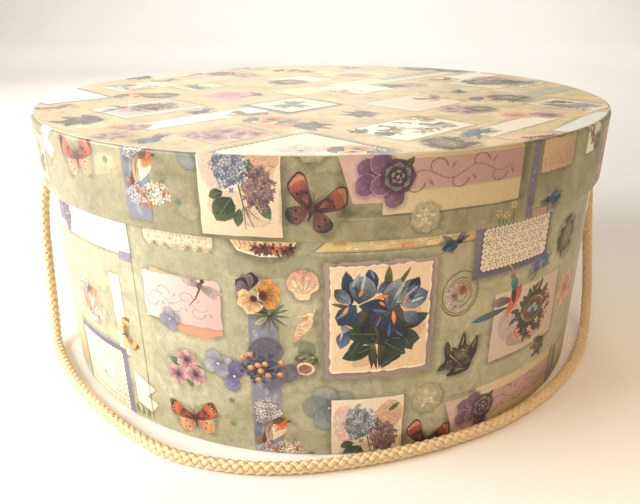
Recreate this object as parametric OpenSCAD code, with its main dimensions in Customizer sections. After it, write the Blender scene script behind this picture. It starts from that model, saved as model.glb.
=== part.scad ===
// Round hat box with a lift-off lid and a braided carrying cord.
// Rolled greyboard shell, printed paper pasted outside and plain paper inside.
// Origin: centre of the underside, +Z up, cord holes on the X axis, front towards -Y.

/* [Box] */
// Outside diameter of the lid
lid_d = 300; // [220:10:400]
// Height of the closed box
box_h = 132; // [120:2:200]
// Depth of the lid's rim
rim_h = 32; // [20:1:34]

/* [Board and paper] */
// Thickness of the wall, base and lid top boards
board_t = 2; // [1.5:0.1:2.5]
// Thickness of the lid's rim board
rim_board_t = 1.5; // [1.2:0.1:2]
// Thickness of the printed paper with its paste
wrap_t = 0.25; // [0.2:0.05:0.4]
// Thickness of the plain lining paper
lining_t = 0.15; // [0.1:0.05:0.3]
// Gap between the lid and the wall's paper lap
lid_gap = 0.4; // [0.3:0.1:1]
// How far the printed paper is turned over an edge
turn_in = 12; // [8:1:20]
// Bare margin between a pasted-on paper and the edge it stops short of
margin = 3; // [1:0.5:5]
// Width of the lap where a wrap's two ends meet
lap_w = 14; // [8:1:24]
// Direction of the wall's lap, in degrees from +X
wall_lap_at = 236; // [200:1:250]
// Direction of the lid rim's lap, in degrees from +X
rim_lap_at = 130; // [110:1:150]
// Radius of the rounded board edges
edge_r = 0.9; // [0.5:0.1:1.2]

/* [Cord] */
// Diameter of the braided cord
cord_d = 6; // [5:0.5:6]
// Diameter of the two cord holes
hole_d = 7; // [6.5:0.5:8]
// Height of the cord holes above the table
hole_z = 90; // [90:1:90]
// Diameter of a stopper knot
knot_d = 18; // [14:1:20]
// Length of a stopper knot along the cord
knot_l = 15; // [12:1:18]
// Length of the cord end that stands out of a knot
tail_l = 9; // [5:1:12]

/* [Hidden] */
$fn = 180;

greyboard = [0.55, 0.50, 0.43];
print_green = [0.68, 0.70, 0.50];
print_cream = [0.86, 0.83, 0.66];
plain_paper = [0.93, 0.90, 0.82];
cord_cream = [0.90, 0.82, 0.64];

// Radii, worked inwards from the outside of the lid
lid_r = lid_d / 2;
rim_board_r = lid_r - wrap_t;
rim_board_in = rim_board_r - rim_board_t;
rim_turn_in_r = rim_board_in - wrap_t;
lid_in = rim_turn_in_r - lining_t;
wall_r = lid_in - lid_gap - wrap_t;
wall_board_r = wall_r - wrap_t;
wall_board_in = wall_board_r - board_t;
wall_turn_in_r = wall_board_in - wrap_t;
wall_in = wall_turn_in_r - lining_t;

// Heights of the base, worked upwards from the table
under_z = wrap_t;
base_z = under_z + wrap_t;
base_top = base_z + board_t;
floor_z = base_top + lining_t;

// Heights of the lid, worked downwards from its top
top_paper_z = box_h - wrap_t;
lid_board_top = top_paper_z - wrap_t;
lid_board_z = lid_board_top - board_t;
lid_ceiling = lid_board_z - lining_t;
rim_z = box_h - rim_h;
rim_board_z = rim_z + wrap_t;

// The wall stops at the lid's ceiling, which rests on it
wall_top = lid_ceiling;
wall_board_top = wall_top - wrap_t;

edge_steps = 4;
wrap_edge_r = edge_r + wrap_t;

// Points of a quarter arc about c from angle a, turning by turn degrees
function arc(c, r, a, turn) = [
    for (i = [0 : edge_steps])
        let (t = a + turn * i / edge_steps)
            c + r * [cos(t), sin(t)]
];

// Section of a board tube standing from z0 to z1, its outer edges rounded as asked
function tube_section(r_in, r_out, z0, z1, low_r, high_r) = concat(
    [[r_in, z0]],
    low_r > 0 ? arc([r_out - low_r, z0 + low_r], low_r, -90, 90) : [[r_out, z0]],
    high_r > 0 ? arc([r_out - high_r, z1 - high_r], high_r, 0, 90) : [[r_out, z1]],
    [[r_in, z1]]
);

// A thin arc of paper standing on a wrap, from radius r to r + wrap_t
module lap(r, z0, z1, at) {
    half = lap_w / r * 90 / PI;
    translate([0, 0, z0])
        rotate([0, 0, at - half])
            rotate_extrude(angle = 2 * half)
                translate([r, 0])
                    square([wrap_t, z1 - z0]);
}

module cord_holes() {
    translate([0, 0, hole_z])
        rotate([0, 90, 0])
            cylinder(d = hole_d, h = lid_d, center = true);
}

// ---------------------------------------------------------------- box

module wall_board() {
    color(greyboard)
        difference() {
            rotate_extrude()
                polygon(tube_section(wall_board_in, wall_board_r, base_z, wall_board_top, edge_r, edge_r));
            cord_holes();
        }
}

module base_board() {
    color(greyboard)
        translate([0, 0, base_z])
            cylinder(r = wall_board_in, h = board_t);
}

// Printed paper: turned under the base, up the outside, over the top edge and down inside
module wall_wrap() {
    under_r = wall_r - turn_in;
    in_z = wall_top - turn_in;
    outline = concat(
        [[under_r, under_z]],
        arc([wall_r - wrap_edge_r, under_z + wrap_edge_r], wrap_edge_r, -90, 90),
        arc([wall_r - wrap_edge_r, wall_top - wrap_edge_r], wrap_edge_r, 0, 90),
        [[wall_turn_in_r, wall_top], [wall_turn_in_r, in_z], [wall_board_in, in_z]],
        [[wall_board_in, wall_board_top]],
        arc([wall_board_r - edge_r, wall_board_top - edge_r], edge_r, 90, -90),
        arc([wall_board_r - edge_r, base_z + edge_r], edge_r, 0, -90),
        [[under_r, base_z]]
    );
    color(print_green)
        difference() {
            union() {
                rotate_extrude()
                    polygon(outline);
                lap(wall_r, under_z + wrap_edge_r, wall_top - wrap_edge_r, wall_lap_at);
            }
            cord_holes();
        }
}

// Plain paper inside the wall, stepped over the edge of the turned-in print
module wall_lining() {
    in_z = wall_top - turn_in;
    outline = [
        [wall_in, floor_z], [wall_board_in, floor_z], [wall_board_in, in_z],
        [wall_turn_in_r, in_z], [wall_turn_in_r, wall_top - margin], [wall_in, wall_top - margin],
    ];
    color(plain_paper)
        difference() {
            rotate_extrude()
                polygon(outline);
            cord_holes();
        }
}

// Sheet under the base, pasted over the edge of the turned-under print
module base_paper() {
    under_r = wall_r - turn_in;
    color(print_cream)
        rotate_extrude()
            polygon([
                [0, 0], [wall_r - 2 * margin, 0], [wall_r - 2 * margin, under_z],
                [under_r, under_z], [under_r, base_z], [0, base_z],
            ]);
}

module base_lining() {
    color(plain_paper)
        translate([0, 0, base_top])
            cylinder(r = wall_board_in, h = lining_t);
}

// ---------------------------------------------------------------- cord

knot_face = wall_in - 0.3;

// The cord's centreline: out of the left hole, down, round the front on the table
// and up to the right hole
route = [
    [-knot_face, 0, 90], [-150, 0, 90], [-156, -1, 88.5], [-161, -2, 84], [-164, -4, 76],
    [-165, -7, 66], [-164.5, -12, 55], [-163, -18, 43], [-161, -25, 30], [-158.5, -33, 17],
    [-155, -43, 8], [-150.5, -54, 3.5], [-143, -68, 3], [-134, -82, 3], [-123, -97, 3],
    [-109, -113, 3], [-95, -127, 3], [-81, -139, 3], [-66, -149, 3], [-49, -155, 3],
    [-30, -158.5, 3], [-10, -158.5, 3], [10, -155.5, 3], [30, -150.5, 3], [49, -144, 3],
    [67, -136, 3], [84, -126.5, 3], [100, -114.5, 3], [115, -100.5, 3], [128, -85, 3],
    [139.5, -68, 3], [149, -50, 4.5], [155, -35, 11], [158, -24, 23], [159, -15, 37],
    [159, -8, 52], [158.5, -3, 66], [157.5, -1, 78], [153.5, 0, 86.5], [knot_face, 0, 90],
];
cord_sides = 12;

function unit(v) = v / norm(v);
last = len(route) - 1;

// Direction of the cord at a point of the route: its ends leave square to the wall
function heading(i) = i == 0 ? [-1, 0, 0] : i == last ? [-1, 0, 0] : unit(route[i + 1] - route[i - 1]);

// A side direction that turns no more than the cord does, carried along the route
function carried(side, along) = unit(side - (side * along) * along);
function sides_from(i, side) =
    i > last ? [] : let (s = carried(side, heading(i))) concat([s], sides_from(i + 1, s));

module cord() {
    sides = sides_from(0, [0, 0, 1]);
    rings = [
        for (i = [0 : last])
            let (s = sides[i], w = cross(heading(i), s))
                for (k = [0 : cord_sides - 1])
                    let (a = 360 * k / cord_sides)
                        route[i] + cord_d / 2 * (cos(a) * s + sin(a) * w)
    ];
    walls = [
        for (i = [0 : last - 1], k = [0 : cord_sides - 1])
            let (a = i * cord_sides + k, b = i * cord_sides + (k + 1) % cord_sides)
                each [[a, a + cord_sides, b], [b, a + cord_sides, b + cord_sides]]
    ];
    first_cap = [for (k = [0 : cord_sides - 1]) k];
    last_cap = [for (k = [cord_sides - 1 : -1 : 0]) last * cord_sides + k];
    color(cord_cream)
        polyhedron(points = rings, faces = concat(walls, [first_cap, last_cap]), convexity = 6);
}

// Stopper knot against the lining: a rounded barrel with the cord's end standing out of it
module stopper_knot() {
    round_r = 5;
    outline = concat(
        [[0, 0]],
        arc([knot_d / 2 - round_r, round_r], round_r, -90, 90),
        arc([knot_d / 2 - round_r, knot_l - round_r], round_r, 0, 90),
        [[cord_d / 2, knot_l], [cord_d / 2, knot_l + tail_l], [0, knot_l + tail_l]]
    );
    color(cord_cream)
        rotate_extrude($fn = 48)
            polygon(outline);
}

module cord_knot_left() {
    translate([-knot_face, 0, hole_z])
        rotate([0, 90, 0])
            stopper_knot();
}

module cord_knot_right() {
    translate([knot_face, 0, hole_z])
        rotate([0, -90, 0])
            stopper_knot();
}

// ---------------------------------------------------------------- lid

// Disc set inside the rim board's upper end
module lid_top_board() {
    color(greyboard)
        translate([0, 0, lid_board_z])
            cylinder(r = rim_board_in, h = board_t);
}

module lid_rim_board() {
    color(greyboard)
        rotate_extrude()
            polygon(tube_section(rim_board_in, rim_board_r, rim_board_z, lid_board_top, edge_r, edge_r));
}

// Printed disc, pasted over the edge of the rim's turned-over print
module lid_top_paper() {
    over_r = lid_r - turn_in;
    paper_r = lid_r - margin / 2;
    color(print_cream)
        rotate_extrude()
            polygon([
                [0, lid_board_top], [over_r, lid_board_top], [over_r, top_paper_z],
                [paper_r, top_paper_z], [paper_r, box_h], [0, box_h],
            ]);
}

// Printed strip: over the top edge, down the outside, under the rim's edge and up inside
module lid_rim_wrap() {
    over_r = lid_r - turn_in;
    in_z = rim_z + turn_in;
    outline = concat(
        [[rim_turn_in_r, in_z]],
        [[rim_turn_in_r, rim_z]],
        arc([lid_r - wrap_edge_r, rim_z + wrap_edge_r], wrap_edge_r, -90, 90),
        arc([lid_r - wrap_edge_r, top_paper_z - wrap_edge_r], wrap_edge_r, 0, 90),
        [[over_r, top_paper_z], [over_r, lid_board_top]],
        arc([rim_board_r - edge_r, lid_board_top - edge_r], edge_r, 90, -90),
        arc([rim_board_r - edge_r, rim_board_z + edge_r], edge_r, 0, -90),
        [[rim_board_in, rim_board_z], [rim_board_in, in_z]]
    );
    color(print_green) {
        rotate_extrude()
            polygon(outline);
        lap(lid_r, rim_z + wrap_edge_r, top_paper_z - wrap_edge_r, rim_lap_at);
    }
}

module lid_top_lining() {
    color(plain_paper)
        translate([0, 0, lid_ceiling])
            cylinder(r = rim_board_in, h = lining_t);
}

// Plain paper inside the rim, stepped over the edge of the turned-in print
module lid_rim_lining() {
    in_z = rim_z + turn_in;
    color(plain_paper)
        rotate_extrude()
            polygon([
                [lid_in, rim_z + margin], [rim_turn_in_r, rim_z + margin], [rim_turn_in_r, in_z],
                [rim_board_in, in_z], [rim_board_in, lid_ceiling], [lid_in, lid_ceiling],
            ]);
}

wall_board();
base_board();
wall_wrap();
wall_lining();
base_paper();
base_lining();
cord();
cord_knot_left();
cord_knot_right();
lid_top_board();
lid_rim_board();
lid_top_paper();
lid_rim_wrap();
lid_top_lining();
lid_rim_lining();
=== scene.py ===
import math
import random
from itertools import chain

import bpy
import numpy as np
from mathutils import Matrix, Vector
from mathutils.geometry import delaunay_2d_cdt


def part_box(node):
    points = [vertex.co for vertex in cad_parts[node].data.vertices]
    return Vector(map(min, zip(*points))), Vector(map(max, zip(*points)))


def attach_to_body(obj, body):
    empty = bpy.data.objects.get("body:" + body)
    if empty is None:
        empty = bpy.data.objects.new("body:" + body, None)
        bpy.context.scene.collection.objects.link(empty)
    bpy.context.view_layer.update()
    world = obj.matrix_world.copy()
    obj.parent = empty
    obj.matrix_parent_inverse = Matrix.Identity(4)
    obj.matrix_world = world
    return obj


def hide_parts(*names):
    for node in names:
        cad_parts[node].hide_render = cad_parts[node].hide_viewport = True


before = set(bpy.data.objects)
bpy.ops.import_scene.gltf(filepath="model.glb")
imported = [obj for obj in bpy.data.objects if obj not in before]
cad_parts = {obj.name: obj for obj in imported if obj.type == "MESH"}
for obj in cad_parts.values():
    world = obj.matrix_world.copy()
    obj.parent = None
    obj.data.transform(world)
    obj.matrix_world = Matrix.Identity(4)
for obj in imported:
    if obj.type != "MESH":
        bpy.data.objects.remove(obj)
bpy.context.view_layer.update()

MM = 0.001


# ------------------------------------------------------------ small helpers

def put_in_scene(name, data):
    thing = bpy.data.objects.new(name, data)
    bpy.context.collection.objects.link(thing)
    return thing


def polar(reach, angle, tall=1.0):
    """The point at this reach and angle in degrees, on an oval that is tall times as high as wide."""
    return reach * math.cos(math.radians(angle)), tall * reach * math.sin(math.radians(angle))


def unit(rows):
    """The vector in each row, with a length of 1."""
    return rows / np.linalg.norm(rows, axis=-1, keepdims=True)


def each(draw, rows, *look, **more):
    """Draw once for every row of numbers, all with the same look."""
    for row in rows:
        draw(*row, *look, **more)


# ------------------------------------------------------------ camera, light, floor

def aim(spot, target, roll=0.0):
    """World matrix of something at spot that looks at target."""
    look = (Vector(target) - Vector(spot)).to_track_quat("-Z", "Y").to_matrix().to_4x4()
    return Matrix.Translation(spot) @ look @ Matrix.Rotation(roll, 4, "Z")


def make_camera():
    """The photograph's view: close to the box and a little above its lid."""
    down, left, roll = (math.radians(angle) for angle in (25.3, 1.0, -0.4))
    spot = Vector((0.0053, -0.3658, 0.1831))
    level = math.cos(down)
    ahead = Vector((-math.sin(left) * level, math.cos(left) * level, -math.sin(down)))
    data = bpy.data.cameras.new("camera")
    data.sensor_width = 36.0
    data.lens = 35.5
    data.shift_y = 0.06
    data.clip_start = 0.01
    camera = put_in_scene("camera", data)
    camera.matrix_world = aim(spot, spot + ahead, roll)
    bpy.context.scene.camera = camera


def area_light(name, spot, target, size, power, colour, spread=180):
    data = bpy.data.lights.new(name, "AREA")
    data.spread = math.radians(spread)
    data.shape = "RECTANGLE"
    data.size, data.size_y = size
    data.energy = power
    data.color = colour
    put_in_scene(name, data).matrix_world = aim(spot, target)


def make_lights():
    world = bpy.data.worlds.new("studio")
    world.use_nodes = True
    sky = world.node_tree.nodes["Background"]
    sky.inputs["Color"].default_value = (1.0, 0.90, 0.76, 1.0)
    sky.inputs["Strength"].default_value = 0.32
    bpy.context.scene.world = world
    bpy.context.scene.view_settings.view_transform = "Standard"
    area_light("window", (-0.85, -0.2, 0.44), (-0.05, 0, 0.05), (0.7, 0.6), 14.6, (1.0, 0.99, 0.98))
    area_light("back_window", (-0.3, 0.95, 0.7), (0, 0, 0.1), (1.2, 0.7), 5.0, (1.0, 0.94, 0.86))
    area_light("front_fill", (-0.5, -1.05, 0.55), (0, 0, 0.05), (1.0, 0.8), 2.8, (1.0, 0.79, 0.54))
    area_light("table_fill", (0.36, -0.5, 0.8), (0.36, -0.3, 0), (0.4, 0.3), 0.66, (1.0, 0.67, 0.38), 50)
    area_light("backdrop_glow", (0.0, 1.6, 1.6), (0, 2.6, 0.4), (2.5, 0.6), 27.0, (1.0, 0.98, 0.97))


# ------------------------------------------------------------ materials

class Nodes:
    """A material's node tree, with short names for what these materials use."""

    def __init__(self, name):
        self.material = bpy.data.materials.new(name)
        self.material.use_nodes = True
        self.tree = self.material.node_tree
        self.shader = self.tree.nodes["Principled BSDF"]

    def add(self, kind, settings=None, **sockets):
        node = self.tree.nodes.new(kind)
        for key, value in (settings or {}).items():
            setattr(node, key, value)
        for key, value in sockets.items():
            self.put(node.inputs[key.replace("_", " ")], value)
        return node

    def put(self, socket, value):
        if isinstance(value, bpy.types.NodeSocket):
            self.tree.links.new(value, socket)
        else:
            socket.default_value = value

    def where(self, stretch=(1.0, 1.0, 1.0)):
        place = self.add("ShaderNodeTexCoord")
        turned = self.add("ShaderNodeMapping", Vector=place.outputs["Object"], Scale=stretch)
        return turned.outputs["Vector"]

    def noise(self, scale, detail=3.0, rough=0.5, warp=0.0, where=None):
        where = where or self.where()
        node = self.add("ShaderNodeTexNoise", Vector=where, Scale=scale, Detail=detail, Roughness=rough)
        node.inputs["Distortion"].default_value = warp
        return node.outputs["Fac"]

    def math(self, kind, a, b, c=None):
        node = self.add("ShaderNodeMath", {"operation": kind})
        for socket, value in zip(node.inputs, (a, b, c)):
            if value is not None:
                self.put(socket, value)
        return node.outputs["Value"]

    def spread(self, value, low, high):
        """Noise from about 0.3 to 0.7, stretched to run from low to high."""
        ends = {"From_Min": 0.3, "From_Max": 0.7, "To_Min": low, "To_Max": high}
        return self.add("ShaderNodeMapRange", Value=value, **ends).outputs["Result"]

    def ramp(self, value, *stops):
        node = self.add("ShaderNodeValToRGB", Fac=value)
        bar = node.color_ramp.elements
        while len(bar) < len(stops):
            bar.new(0.5)
        for element, (at, colour) in zip(bar, stops):
            element.position = at
            element.color = (*colour, 1.0)
        return node.outputs["Color"]

    def mix(self, kind, share, a, b):
        node = self.add("ShaderNodeMix", {"data_type": "RGBA", "blend_type": kind})
        for socket, value in ((node.inputs[0], share), (node.inputs[6], a), (node.inputs[7], b)):
            self.put(socket, (*value, 1.0) if isinstance(value, tuple) else value)
        return node.outputs[2]

    def vary(self, colour, noise, *stops):
        """The colour multiplied by a ramp over the noise."""
        return self.mix("MULTIPLY", 1.0, colour, self.ramp(noise, *stops))

    def attribute(self, name, output="Color"):
        return self.add("ShaderNodeAttribute", {"attribute_name": name}).outputs[output]

    def bump(self, height, strength, distance):
        node = self.add("ShaderNodeBump", Height=height, Strength=strength, Distance=distance)
        self.put(self.shader.inputs["Normal"], node.outputs["Normal"])

    def finish(self, colour, roughness, **sockets):
        self.put(self.shader.inputs["Base Color"], (*colour, 1.0) if isinstance(colour, tuple) else colour)
        self.put(self.shader.inputs["Roughness"], roughness)
        for key, value in sockets.items():
            self.shader.inputs[key.replace("_", " ")].default_value = value
        return self.material


def print_material():
    """Printed paper: pictures in brush strokes, a marbled ground where it is bare, a faint tooth."""
    n = Nodes("printed_paper")
    picture, brush = n.attribute("print"), n.attribute("print", "Alpha")
    dabs = n.ramp(
        n.noise(560.0, 5.0, 0.62, 1.3), (0.30, (0.50, 0.50, 0.56)), (0.44, (0.86, 0.86, 0.90)),
        (0.57, (1.10, 1.07, 1.0)), (0.72, (1.62, 1.52, 1.36)),
    )
    painted = n.mix("MULTIPLY", brush, picture, dabs)
    clouds = n.noise(55.0, 7.0, 0.62, 0.7)
    marbled = n.vary(
        picture, clouds, (0.32, (0.76, 0.76, 0.66)), (0.44, (0.94, 0.94, 0.89)),
        (0.55, (1.04, 1.03, 1.02)), (0.66, (1.28, 1.25, 1.24)),
    )
    streaks = n.noise(330.0, 6.0, 0.70, 0.4, n.where((1.0, 1.0, 0.8)))
    ground = n.vary(marbled, streaks, (0.33, (0.82, 0.83, 0.78)), (0.67, (1.18, 1.17, 1.19)))
    colour = n.mix("MIX", n.attribute("bare", "Fac"), painted, ground)
    tooth = n.noise(1500.0, 3.0, 0.6)
    colour = n.vary(colour, tooth, (0.3, (0.90, 0.90, 0.90)), (0.7, (1.09, 1.09, 1.09)))
    n.bump(n.noise(2600.0, 2.0), 0.06, 0.0002)
    return n.finish(colour, n.spread(n.noise(90.0), 0.33, 0.44))


def plain_paper_material(name, tint):
    n = Nodes(name)
    fibre = n.noise(900.0, 4.0, 0.6, 0.5)
    colour = n.ramp(fibre, (0.3, tuple(0.93 * c for c in tint)), (0.7, tint))
    n.bump(n.noise(1600.0, 3.0), 0.15, 0.0002)
    return n.finish(colour, n.spread(n.noise(60.0), 0.65, 0.8))


def greyboard_material():
    n = Nodes("greyboard")
    specks = n.noise(1300.0, 4.0, 0.7)
    colour = n.ramp(
        specks, (0.3, (0.16, 0.14, 0.11)), (0.5, (0.30, 0.27, 0.22)), (0.7, (0.42, 0.38, 0.31)),
    )
    n.bump(specks, 0.4, 0.0003)
    return n.finish(colour, n.spread(n.noise(200.0), 0.8, 0.95))


def cord_material():
    """Cream cotton yarn: fine strands that run along each plait, with painted shade down between them."""
    n = Nodes("cord_yarn")
    place = n.add("ShaderNodeUVMap", {"uv_map": "along"}).outputs["UV"]
    slant = n.add("ShaderNodeMapping", Vector=place, Rotation=(0, 0, 0.35)).outputs["Vector"]
    fibre = n.add("ShaderNodeTexWave", Vector=slant, Scale=1.1, Distortion=1.5, Detail=2.0).outputs["Fac"]
    fluff = n.noise(1800.0, 3.0, 0.6)
    shade = n.math("MULTIPLY_ADD", fibre, 0.5, n.math("MULTIPLY", fluff, 0.5))
    # painted shade: the dips that make the bump also darken the yarn between the strands
    colour = n.ramp(shade, (0.15, (0.60, 0.36, 0.15)), (0.5, (0.92, 0.69, 0.38)), (0.85, (1.0, 0.88, 0.60)))
    n.bump(shade, 0.5, 0.0002)
    return n.finish(colour, n.spread(fluff, 0.55, 0.7), Sheen_Weight=0.25, Sheen_Roughness=0.4)


def floor_material():
    n = Nodes("pale_floor")
    colour = n.ramp(n.noise(3.0, 4.0), (0.3, (0.95, 0.91, 0.86)), (0.7, (0.98, 0.95, 0.91)))
    return n.finish(colour, n.spread(n.noise(8.0), 0.45, 0.6))


def make_floor(material):
    """A plain pale table top that curves up into a backdrop behind the box."""
    half, front, back, rise, bend, steps = 3.0, -3.0, 2.2, 2.4, 0.8, 12
    section = [(front, 0.0)]
    for i in range(steps + 1):
        across, up = polar(bend, 90 * i / steps - 90)
        section.append((back + across, bend + up))
    section.append((back + bend, rise))
    verts = [(x, y, z) for y, z in section for x in (-half, half)]
    faces = [(2 * i, 2 * i + 1, 2 * i + 3, 2 * i + 2) for i in range(len(section) - 1)]
    mesh = bpy.data.meshes.new("floor")
    mesh.from_pydata(verts, [], faces)
    mesh.shade_smooth()
    mesh.materials.append(material)
    floor = put_in_scene("floor", mesh)


# ------------------------------------------------------------ drawing

def ink(code):
    """A hex colour as linear light."""
    c = np.array([int(code[i:i + 2], 16) / 255 for i in (1, 3, 5)])
    return np.where(c <= 0.04045, c / 12.92, ((c + 0.055) / 1.055) ** 2.4)


def turned(points, angle):
    c, s = math.cos(math.radians(angle)), math.sin(math.radians(angle))
    return np.asarray(points, float) @ np.array([[c, s], [-s, c]])


def area(points):
    """Area inside an outline, positive if it runs anticlockwise."""
    x, y = points[:, 0], points[:, 1]
    return 0.5 * (x[:-1] @ y[1:] - x[1:] @ y[:-1] + x[-1] * y[0] - x[0] * y[-1])


def smooth(points, closed=True, steps=3):
    """The points joined by a Catmull-Rom curve."""
    p = np.asarray(points, float)
    n = len(p)
    out = []
    for i in range(n if closed else n - 1):
        a, b, c, d = (
            (p[(i - 1) % n], p[i], p[(i + 1) % n], p[(i + 2) % n])
            if closed
            else (p[max(i - 1, 0)], p[i], p[i + 1], p[min(i + 2, n - 1)])
        )
        for k in range(steps):
            t = k / steps
            out.append(b + 0.5 * t * (c - a + t * (2 * a - 5 * b + 4 * c - d + t * (3 * (b - c) + d - a))))
    return np.array(out if closed else out + [p[-1]])


class Shape:
    """A printed shape: its outline, its colour, how much it covers what is under it and how much
    brushwork shows in it."""

    def __init__(self, outline, paint, alpha, halo=None, brush=0.0):
        self.outline, self.paint, self.alpha, self.halo, self.brush = outline, paint, alpha, halo, brush

    def moved(self, turn, shift):
        """The same shape turned about the print's origin and then shifted."""
        paint, halo = self.paint, self.halo
        if not isinstance(paint, np.ndarray):
            first, second, start, end = paint
            end = turned(end, turn) + shift if np.ndim(end) else end
            paint = (first, second, turned(start, turn) + shift, end)
        if halo:
            halo = (turned(halo[0], turn) + shift, halo[1])
        return Shape(turned(self.outline, turn) + shift, paint, self.alpha, halo, self.brush)

    def colours(self, points):
        """One colour all over, or two that blend along a line or out from a middle."""
        if isinstance(self.paint, np.ndarray):
            return np.broadcast_to(self.paint, (len(points), 3))
        first, second, start, end = self.paint
        if np.ndim(end):
            way = end - start
            t = (points - start) @ way / (way @ way)
        else:
            t = np.linalg.norm(points - start, axis=1) / end
        return first + np.clip(t, 0, 1)[:, None] * (second - first)

    def cover(self, points):
        """How much the shape hides at each point. A shadow fades out round its inner outline."""
        if self.halo is None:
            return np.full(len(points), self.alpha)
        inner, reach = self.halo
        a, b = inner, np.roll(inner, -1, axis=0)
        d = b - a
        off = points[:, None] - a[None]
        t = np.clip((off * d).sum(2) / np.maximum((d * d).sum(1), 1e-9), 0, 1)
        away = np.linalg.norm(off - t[..., None] * d, axis=2).min(axis=1)
        return self.alpha * np.clip(1 - away / reach, 0, 1) ** 1.5


class Pen:
    """Draws in its own millimetres on a print, at a place, turned and scaled."""

    BRUSHED = 250  # a shape smaller than this, in square millimetres, shows all of its brushwork

    def __init__(self, shapes, rng, x=0.0, y=0.0, turn=0.0, size=1.0, flip=False):
        self.shapes, self.rng = shapes, rng  # where the shapes go, and the source of all chance
        self.spot, self.turn, self.size, self.flip = np.array([x, y], float), turn, size, flip

    def at(self, x, y, turn=0.0, size=1.0, flip=False):
        spot = self.place([(x, y)])[0]
        angle = self.turn - turn if self.flip else self.turn + turn
        return Pen(self.shapes, self.rng, *spot, angle, self.size * size, self.flip != flip)

    def place(self, points):
        p = np.array(points, float) * self.size
        if self.flip:
            p[:, 0] *= -1
        return turned(p, self.turn) + self.spot

    def mixed(self, paint):
        """Colours for a hex code, or for (code, code, from, to or radius)."""
        vary = 1 + self.rng.uniform(-0.05, 0.05)
        if isinstance(paint, str):
            return ink(paint) * vary
        first, second, start, end = paint
        end = self.place([end])[0] if np.ndim(end) else end * self.size
        return ink(first) * vary, ink(second) * vary, self.place([start])[0], end

    def fill(self, points, paint, alpha=1.0):
        """A filled outline."""
        p, paint = self.place(points), self.mixed(paint)
        size = area(p)
        brush = 1.0 if abs(size) < self.BRUSHED else 0.15
        self.shapes.append(Shape(p if size > 0 else p[::-1], paint, alpha, None, brush))

    def shade(self, points, reach=1.6, alpha=0.45, drop=(0.3, -0.4)):
        """A soft shadow round an outline."""
        reach *= 1.25 * self.size
        p = self.place(np.array(points, float) + drop)
        middle = p.mean(axis=0)
        away = p - middle
        far = np.linalg.norm(away, axis=1, keepdims=True)
        outer = middle + away * (1 + reach / np.maximum(far, 0.5))
        outer = outer if area(outer) > 0 else outer[::-1]
        self.shapes.append(Shape(outer, ink("#37351f"), 1.2 * alpha, (p, reach)))

    def oval(self, x, y, rx, ry, turn=0.0, n=12, rough=0.0):
        a = 2 * np.pi * np.arange(n) / n
        r = np.array([1 + self.rng.uniform(-rough, rough) for _ in a])
        return turned(np.stack([rx * r * np.cos(a), ry * r * np.sin(a)], 1), turn) + (x, y)

    def blob(self, x, y, rx, ry, paint, turn=0.0, alpha=1.0, n=12, rough=0.06):
        """A filled oval, with fewer corners the smaller it is."""
        across = max(rx, ry) * self.size
        n = min(n, 5 if across < 0.7 else 7 if across < 1.3 else 9 if across < 2.5 else 14)
        self.fill(self.oval(x, y, rx, ry, turn, n, rough), paint, alpha)

    def petal(self, x, y, length, width, turn, base, tip, bulge=1.3, veins=0, edge=None, alpha=1.0,
              frill=0.0):
        """A petal or leaf that grows from (x, y) along turn."""
        span = length * self.size
        n = 4 if span < 3.2 else 5 if span < 5.5 else 6 if span < 9 else 7
        t = np.linspace(0, 1, n)
        half = width / 2 * np.sin(np.pi * t ** bulge) ** 0.75
        wave = np.array([1 + self.rng.uniform(-frill, frill) for _ in range(2 * n)])
        side = np.stack([t * length, half * wave[:n]], 1)
        other = np.stack([t[1:-1] * length, -(half * wave[n:])[1:-1]], 1)[::-1]
        outline = np.concatenate([side, other])
        pen = self.at(x, y, turn)
        if edge:
            pen.fill((outline - (length / 2, 0)) * (1.04, 1.09) + (length / 2, 0), edge, 0.8 * alpha)
        pen.fill(outline, (base, tip, (0, 0), (length, 0)), alpha)
        veins = min(veins, int(width * self.size / 1.3))
        for k in range(veins):
            lean = (k + 0.5) / veins * 2 - 1
            reach = length * (0.88 - 0.25 * abs(lean))
            middle = (0.5 * length, lean * width * 0.30)
            end = (reach, lean * width * 0.30)
            colour = base if k % 2 else edge or tip
            pen.fill([(0.08 * length, 0), middle + np.array((0, 0.05 * width)), end], colour, 0.6 * alpha)

    def bloom(self, x, y, r, lobes, base, tip, spin=None):
        """A small flower seen from above, as one lobed outline."""
        spin = self.rng.uniform(0, 360) if spin is None else spin
        lobe = ((0, 0.45), (0.33, 0.97), (0.67, 0.97))
        edge = [
            polar(reach * r, spin + 360 * (k + part) / lobes)
            for k in range(lobes) for part, reach in lobe
        ]
        self.fill(np.add(edge, (x, y)), (base, tip, (x, y), 0.9 * r))

    def leaf(self, x, y, length, width, turn, dark="#2f4430", light="#5f7a50"):
        self.petal(x, y, length, width, turn, dark, light, 1.0, 4, "#26352a", frill=0.08)
        rib = [polar(share * length, turn) for share in (0, 0.5, 0.9)]
        self.line(np.add(rib, (x, y)), 0.35, "#6f8560", 0.8)

    def florets(self, x, y, rx, ry, n, colours, size=1.5, heart="#4f5468"):
        """A lilac head: many small four-petalled flowers over a dark middle."""
        self.blob(x, y, 0.92 * rx, 0.92 * ry, "#5c5a62", 0, 0.9, 14, 0.16)
        for fx, fy in self.scatter(x, y, rx, ry, n):
            self.bloom(fx, fy, 1.05 * size, 4, heart, self.rng.choice(colours), self.rng.uniform(0, 90))

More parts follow.
